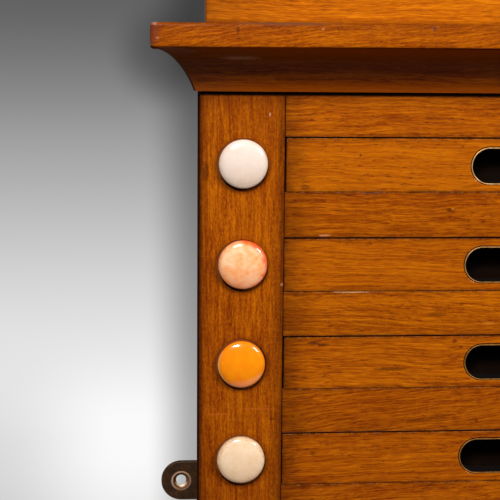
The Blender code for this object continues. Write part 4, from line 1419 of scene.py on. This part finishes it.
def makeBronze(name, holeAt, hole, sink):
    material, sheet = newMaterial(name, metallic=0.35, specular=0.3)
    place = sheet.objectPlace()
    x, y, z = sheet.separate(sheet.vector("SUBTRACT", place, holeAt))
    cloud = sheet.noise(place, 220.0, 4.0, 0.65)
    grit = sheet.noise(place, 1600.0)
    colour = sheet.ramp(cloud, ((0.30, (52, 32, 18)), (0.50, (68, 44, 26)), (0.72, (96, 62, 34))))
    wander = sheet.timesPlus(grit, 0.0005, sheet.radius(x, z))
    # A rubbed bright ring round the countersink, brightest above and to the left as a painted highlight;
    # the countersink's slope painted lit below and to the right, and the hole's wall in painted shade with
    # a painted highlight low down inside
    side = sheet.less(z, sheet.times(x, 0.7))
    cone = sheet.stretch(wander, sink - 0.0001, sink - 0.0006)
    cone = sheet.times(cone, sheet.stretch(side, 0.003, -0.004, 0.05, 0.65))
    colour = sheet.mix(cone, colour, (158, 102, 62))
    ring = sheet.calc("ABSOLUTE", sheet.less(wander, sink + 0.0003))
    rimHighlight = sheet.stretch(ring, 0.00015, 0.0007, 1.0, 0.0)
    rimHighlight = sheet.times(rimHighlight, sheet.stretch(side, -0.005, 0.004, 0.40, 1.0))
    colour = sheet.mix(rimHighlight, colour, (232, 178, 142))
    # The hole's wall in painted shade, with a painted highlight on its lower part
    inner = sheet.stretch(wander, hole + 0.0006, hole + 0.0013, 1.0, 0.0)
    colour = sheet.mix(sheet.times(inner, 0.6), colour, (34, 20, 12))
    inner = sheet.times(inner, sheet.stretch(z, -0.0006, -0.0024))
    colour = sheet.mix(inner, colour, (255, 236, 204))
    rough = sheet.stretch(cloud, 0.3, 0.7, 0.55, 0.38)
    return setShader(material, {"Base Color": colour, "Roughness": rough}, (grit, 0.35, 0.00012))


def makeLugs(setup):
    radius, hole, sink = setup["height"] / 2, setup["hole"] / 2, setup["sink"] / 2
    over = setup["overrun"]
    slope = (sink - hole) / setup["sinkDepth"]
    for side, name in ((-1, "left_wall_lug"), (1, "right_wall_lug")):
        low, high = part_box(name)
        inner = high.x if side < 0 else low.x
        holeX = side * (outerX + setup["holeOut"])
        end = arc(holeX, 0.0, side * radius, radius, -90, 90, setup["endSteps"])
        lug = prism(name + "_bronzed", [(inner, -radius), *end, (inner, radius)], "Y", low.y, high.y)
        rings = []
        for y, reach in ((high.y + over, hole), (low.y + setup["sinkDepth"], hole),
                         (low.y - over, sink + slope * over)):
            circle = arc(holeX, 0.0, reach, reach, 0, 360, setup["holeSteps"])[:-1]
            rings.append([(x, y, z) for x, z in circle])
        lug = easeArrises(takeOut(lug, loft(name + "Cut", rings)), setup["arris"], limit=50)
        finish = makeBronze("bronzed brass " + name[:-9], Vector((holeX, low.y, 0.0)), hole, sink)
        coat(lug, finish)
        fit(lug, "frame", "bronzed_brass", name)
    print("wall lugs done")


makeLugs(lugSetup)

# Wood screws with slotted heads

screwSetup = {
    "Head Radius": 0.0035,
    "Shank Radius": 0.00175,
    "Head Depth": 0.0020,
    "Rim": 0.0004,
    "Point": 0.0030,
    "Point Share": 0.06,
    "Slot Width": 0.0009,
    "Slot Depth": 0.0010,
    "Shank Step": 0.0010,
    "Steps": 32,
    "Shank Steps": 16,
    "Seed": 7,
}


def screwLines():
    # Name, middle of the head's top, and the tip, from each screw's own box
    lines = []
    for name in sorted(name for name in nodes if "_screw" in name):
        low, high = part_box(name)
        size = high - low
        axis = max(range(3), key=lambda part: size[part])
        start = middleOf(name)
        tip = start.copy()
        fromHigh = axis == 1 or "shelf" in name  # driven in from the back or from above
        start[axis], tip[axis] = (high[axis], low[axis]) if fromHigh else (low[axis], high[axis])
        lines.append((name, start, tip))
    return lines


def layScrewHeads(sheet, given):
    def cone(low, high, bottom, depth):
        inputs = {"Vertices": given["Steps"], "Radius Bottom": low, "Radius Top": high, "Depth": depth}
        shape = sheet.shape("MeshCone", inputs, fill_type="NGON")
        down = sheet.combine(0.0, 0.0, sheet.times(bottom, -1.0))
        return sheet.shape("Transform", {"Geometry": shape, "Translation": down})

    # The head hangs below its point: a short rim over the countersunk cone, less the slot
    rim = cone(given["Head Radius"], given["Head Radius"], given["Rim"], given["Rim"])
    taper = sheet.less(given["Head Depth"], given["Rim"])
    head = cone(given["Shank Radius"], given["Head Radius"], given["Head Depth"], taper)
    whole = sheet.shape("MeshBoolean", {"Mesh 2": [rim, head]}, operation="UNION", solver="EXACT")
    length = sheet.times(given["Head Radius"], 3.0)
    size = sheet.combine(length, given["Slot Width"], sheet.times(given["Slot Depth"], 2.0))
    bar = sheet.shape("MeshCube", {"Size": size})
    inputs = {"Mesh 1": whole, "Mesh 2": bar}
    slotted = sheet.shape("MeshBoolean", inputs, operation="DIFFERENCE", solver="EXACT")

    def stored(name, kind):
        return sheet.shape("InputNamedAttribute", {"Name": name}, "Attribute", data_type=kind)

    inputs = {"Vector": stored("outward", "FLOAT_VECTOR")}
    facing = sheet.put("FunctionNodeAlignRotationToVector", inputs, axis="Z")
    spin = sheet.put("FunctionNodeRandomValue", {3: math.pi, "Seed": given["Seed"]}, 1, data_type="FLOAT")
    turn = sheet.put("FunctionNodeEulerToRotation", (sheet.combine(0.0, 0.0, spin),))
    inputs = {"Rotation": facing, "Rotate By": turn}
    turned = sheet.put("FunctionNodeRotateRotation", inputs, rotation_space="LOCAL")
    inputs = {"Points": given["Geometry"], "Selection": stored("headEnd", "BOOLEAN"), "Instance": slotted,
              "Rotation": turned}
    return sheet.shape("InstanceOnPoints", inputs)


def layScrews(sheet, given):
    # Each line swept into a shank that narrows to its point
    lines = sheet.shape("MeshToCurve", {"Mesh": given["Geometry"]})
    inputs = {"Curve": lines, "Length": given["Shank Step"]}
    even = sheet.shape("ResampleCurve", inputs, mode="LENGTH")
    whole = sheet.shape("SplineLength", output="Length")
    passed = sheet.shape("SplineParameter", output="Length")
    left = sheet.calc("DIVIDE", sheet.less(whole, passed), given["Point"])
    inputs = {"Resolution": given["Shank Steps"], "Radius": given["Shank Radius"]}
    circle = sheet.shape("CurvePrimitiveCircle", inputs, mode="RADIUS")
    inputs = {"Curve": even, "Profile Curve": circle, "Fill Caps": True,
              "Scale": sheet.stretch(left, 0.0, 1.0, given["Point Share"], 1.0)}
    shank = sheet.shape("CurveToMesh", inputs)
    return sheet.shape("JoinGeometry", [[layScrewHeads(sheet, given), shank]])


def makeScrews(setup):
    lines = screwLines()
    inset = setup["Slot Depth"] + 0.1 * mm  # the shank starts under the slot
    mesh = bpy.data.meshes.new("screwLines")
    points = []
    for name, start, tip in lines:
        points += [start, start + (tip - start).normalized() * inset, tip]
    mesh.from_pydata(points, [(3 * index + 1, 3 * index + 2) for index in range(len(lines))], [])
    outward = mesh.attributes.new("outward", "FLOAT_VECTOR", "POINT")
    headEnd = mesh.attributes.new("headEnd", "BOOLEAN", "POINT")
    for index, (name, start, tip) in enumerate(lines):
        outward.data[3 * index].vector = (start - tip).normalized()
        headEnd.data[3 * index].value = True
    settings = {**setup, "Finish": makeMetal("screw brass")}
    screws = growPiece("wood_screws", mesh, "slottedScrews", layScrews, settings, smoothAngle=35)
    fit(screws, "frame", "brass", *[name for name, start, tip in lines])
    print("screws done:", len(lines))


makeScrews(screwSetup)

# Floor, background, lamps and camera

studio = {
    "floorRadius": 0.44,
    "floorFade": 0.20,
    "floorY": -0.08,
    "floorGap": 0.0004,
    "floorColour": (236, 236, 236),
    "floorBounce": (120, 118, 116),
    "ambient": 0.13,
}


def seenDirectly(sheet):
    # 1 for what the camera sees, straight or in a reflection
    rays = sheet.add("ShaderNodeLightPath").outputs
    shown = sheet.calc("MAXIMUM", rays["Is Camera Ray"], rays["Is Glossy Ray"])
    return sheet.calc("MAXIMUM", shown, rays["Is Transmission Ray"]), rays["Is Camera Ray"]


def makeFloor(setup):
    shape = bmesh.new()
    bmesh.ops.create_circle(shape, cap_ends=True, segments=96, radius=setup["floorRadius"])
    down = (0.0, setup["floorY"], cadBox[0][2] - setup["floorGap"])
    bmesh.ops.translate(shape, verts=shape.verts, vec=down)
    mesh = bpy.data.meshes.new("floor")
    shape.to_mesh(mesh)
    shape.free()
    floor = newPiece("floor", mesh)
    material, sheet = newMaterial("pale floor", roughness=0.7)
    shown, direct = seenDirectly(sheet)
    x, y, z = sheet.separate(sheet.objectPlace())
    reach = sheet.radius(x, sheet.less(y, setup["floorY"]))
    cover = sheet.stretch(reach, setup["floorFade"], setup["floorRadius"] * 0.99, 1.0, 0.0, smooth=True)
    colour = sheet.mix(shown, setup["floorBounce"], setup["floorColour"])
    coat(floor, setShader(material, {"Base Color": colour, "Alpha": cover}))


backdrop = {
    # Brightness by height of the line of sight, as the sine of its angle
    "heights": (
        (-1.00, 214), (-0.42, 224), (-0.3332, 241), (-0.3145, 247), (-0.3000, 250), (-0.2736, 250),
        (-0.2585, 247), (-0.2277, 235), (-0.1966, 224), (-0.1651, 213), (-0.1333, 199), (-0.1094, 188),
        (-0.0855, 176), (-0.0615, 164), (-0.0377, 150), (-0.0218, 139), (0.0097, 120), (0.0408, 103),
        (0.0560, 98), (0.30, 84), (1.00, 70),
    ),
    "behindCamera": 0.020,
    "board": (-0.27, 2.25, 0.43),  # where the shade beside the board starts and ends, degrees, and how dark
    "open": (3.2, 6.0),  # the shade has gone again behind the board, degrees
    "cornice": (0.0136, 0.0136, 0.012, 0.050, 0.55),  # aside, height, where the shade ends, how dark
    "corner": (-1.27, -7.5, -0.188, -0.305, 0.27),  # from right to left, from above to below, how dark
}


def makeShade(sheet, setup, aside, z):
    # The soft shades beside the board, round the cornice's end and in the lower left corner
    def turned(start, stop, toLow, toHigh):
        return sheet.stretch(aside, math.radians(start), math.radians(stop), toLow, toHigh, smooth=True)

    near, far, dark = setup["board"]
    shade = sheet.calc("MAXIMUM", turned(near, far, 1.0, dark), turned(*setup["open"], 0.0, 1.0))
    across, up, near, far, dark = setup["cornice"]
    away = sheet.radius(sheet.less(aside, across), sheet.less(z, up))
    shade = sheet.times(shade, sheet.stretch(away, near, far, dark, 1.0, smooth=True))
    right, left, above, below, dark = setup["corner"]
    corner = sheet.times(turned(right, left, 0.0, dark), sheet.stretch(z, above, below, smooth=True))
    return sheet.times(shade, sheet.less(1.0, corner))


def makeWorld(setup, ambient):
    world = bpy.data.worlds.new("studio")
    bpy.context.scene.world = world
    world.use_nodes = True
    world.node_tree.nodes.clear()
    sheet = NodeSheet(world.node_tree)
    sight = sheet.vector("NORMALIZE", sheet.put("ShaderNodeTexCoord", output="Generated"))
    x, y, z = sheet.separate(sight)
    stops = [((height + 1) / 2, (grey, grey, grey)) for height, grey in setup["heights"]]
    wall = sheet.ramp(sheet.timesPlus(z, 0.5, 0.5), stops)
    shade = makeShade(sheet, setup, sheet.calc("ARCTAN2", x, y), z)
    around = sheet.times(sheet.stretch(y, 0.55, 0.80), sheet.stretch(z, -0.52, -0.38, smooth=True))
    shade = sheet.mix(around, (1.0, 1.0, 1.0, 1.0), sheet.combine(shade, shade, shade))
    wall = sheet.mix(1.0, wall, shade, blend="MULTIPLY")
    shown, direct = seenDirectly(sheet)
    ahead = sheet.calc("MAXIMUM", sheet.stretch(y, -0.10, 0.25), direct)
    seen = sheet.mix(ahead, (setup["behindCamera"],) * 3 + (1.0,), wall)
    colour = sheet.mix(shown, (ambient, ambient, ambient * 0.98, 1.0), seen)
    sheet.add("ShaderNodeOutputWorld", {"Surface": sheet.put("ShaderNodeBackground", {"Color": colour})})


lampAim = (-0.16, faceY, 0.08)
softboxes = {
    "keyLamp": {"way": (-0.212, -0.702, 0.648), "distance": 1.35, "size": (0.36, 0.20), "power": 17.5},
    "sideLamp": {"way": (0.676, -0.542, 0.490), "distance": 1.35, "size": (0.30, 0.34), "power": 9.5},
}


def makeLamps(setup):
    for name, look in setup.items():
        data = bpy.data.lights.new(name, "AREA")
        data.shape = "RECTANGLE"
        data.size, data.size_y = look["size"]
        data.energy = look["power"]
        lamp = newPiece(name, data)
        way = Vector(look["way"]).normalized()
        lamp.location = Vector(lampAim) + way * look["distance"]
        lamp.rotation_euler = way.to_track_quat("Z", "Y").to_euler()


cameraSetup = {
    "place": (-0.2510, -0.6710, 0.2250),
    "yaw": 4.686,
    "pitch": -8.117,
    "roll": -0.485,
    "lens": 89.69,
    "sensor": 36.0,
}


def makeCamera(setup):
    yaw, pitch, roll = (math.radians(setup[part]) for part in ("yaw", "pitch", "roll"))
    ahead = Vector((math.sin(yaw) * math.cos(pitch), math.cos(yaw) * math.cos(pitch), math.sin(pitch)))
    right = Vector((math.cos(yaw), -math.sin(yaw), 0.0))
    down = ahead.cross(right)
    level = math.cos(roll) * right + math.sin(roll) * down
    plumb = -math.sin(roll) * right + math.cos(roll) * down
    data = bpy.data.cameras.new("photoCamera")
    data.lens = setup["lens"]
    data.sensor_width = setup["sensor"]
    camera = newPiece("photoCamera", data)
    turn = Matrix((level, -plumb, -ahead)).transposed()
    camera.matrix_world = Matrix.Translation(setup["place"]) @ turn.to_4x4()
    bpy.context.scene.camera = camera


makeFloor(studio)
makeWorld(backdrop, studio["ambient"])
makeLamps(softboxes)
makeCamera(cameraSetup)
bpy.context.scene.view_settings.view_transform = "Standard"
print("floor, background, lamps and camera done")
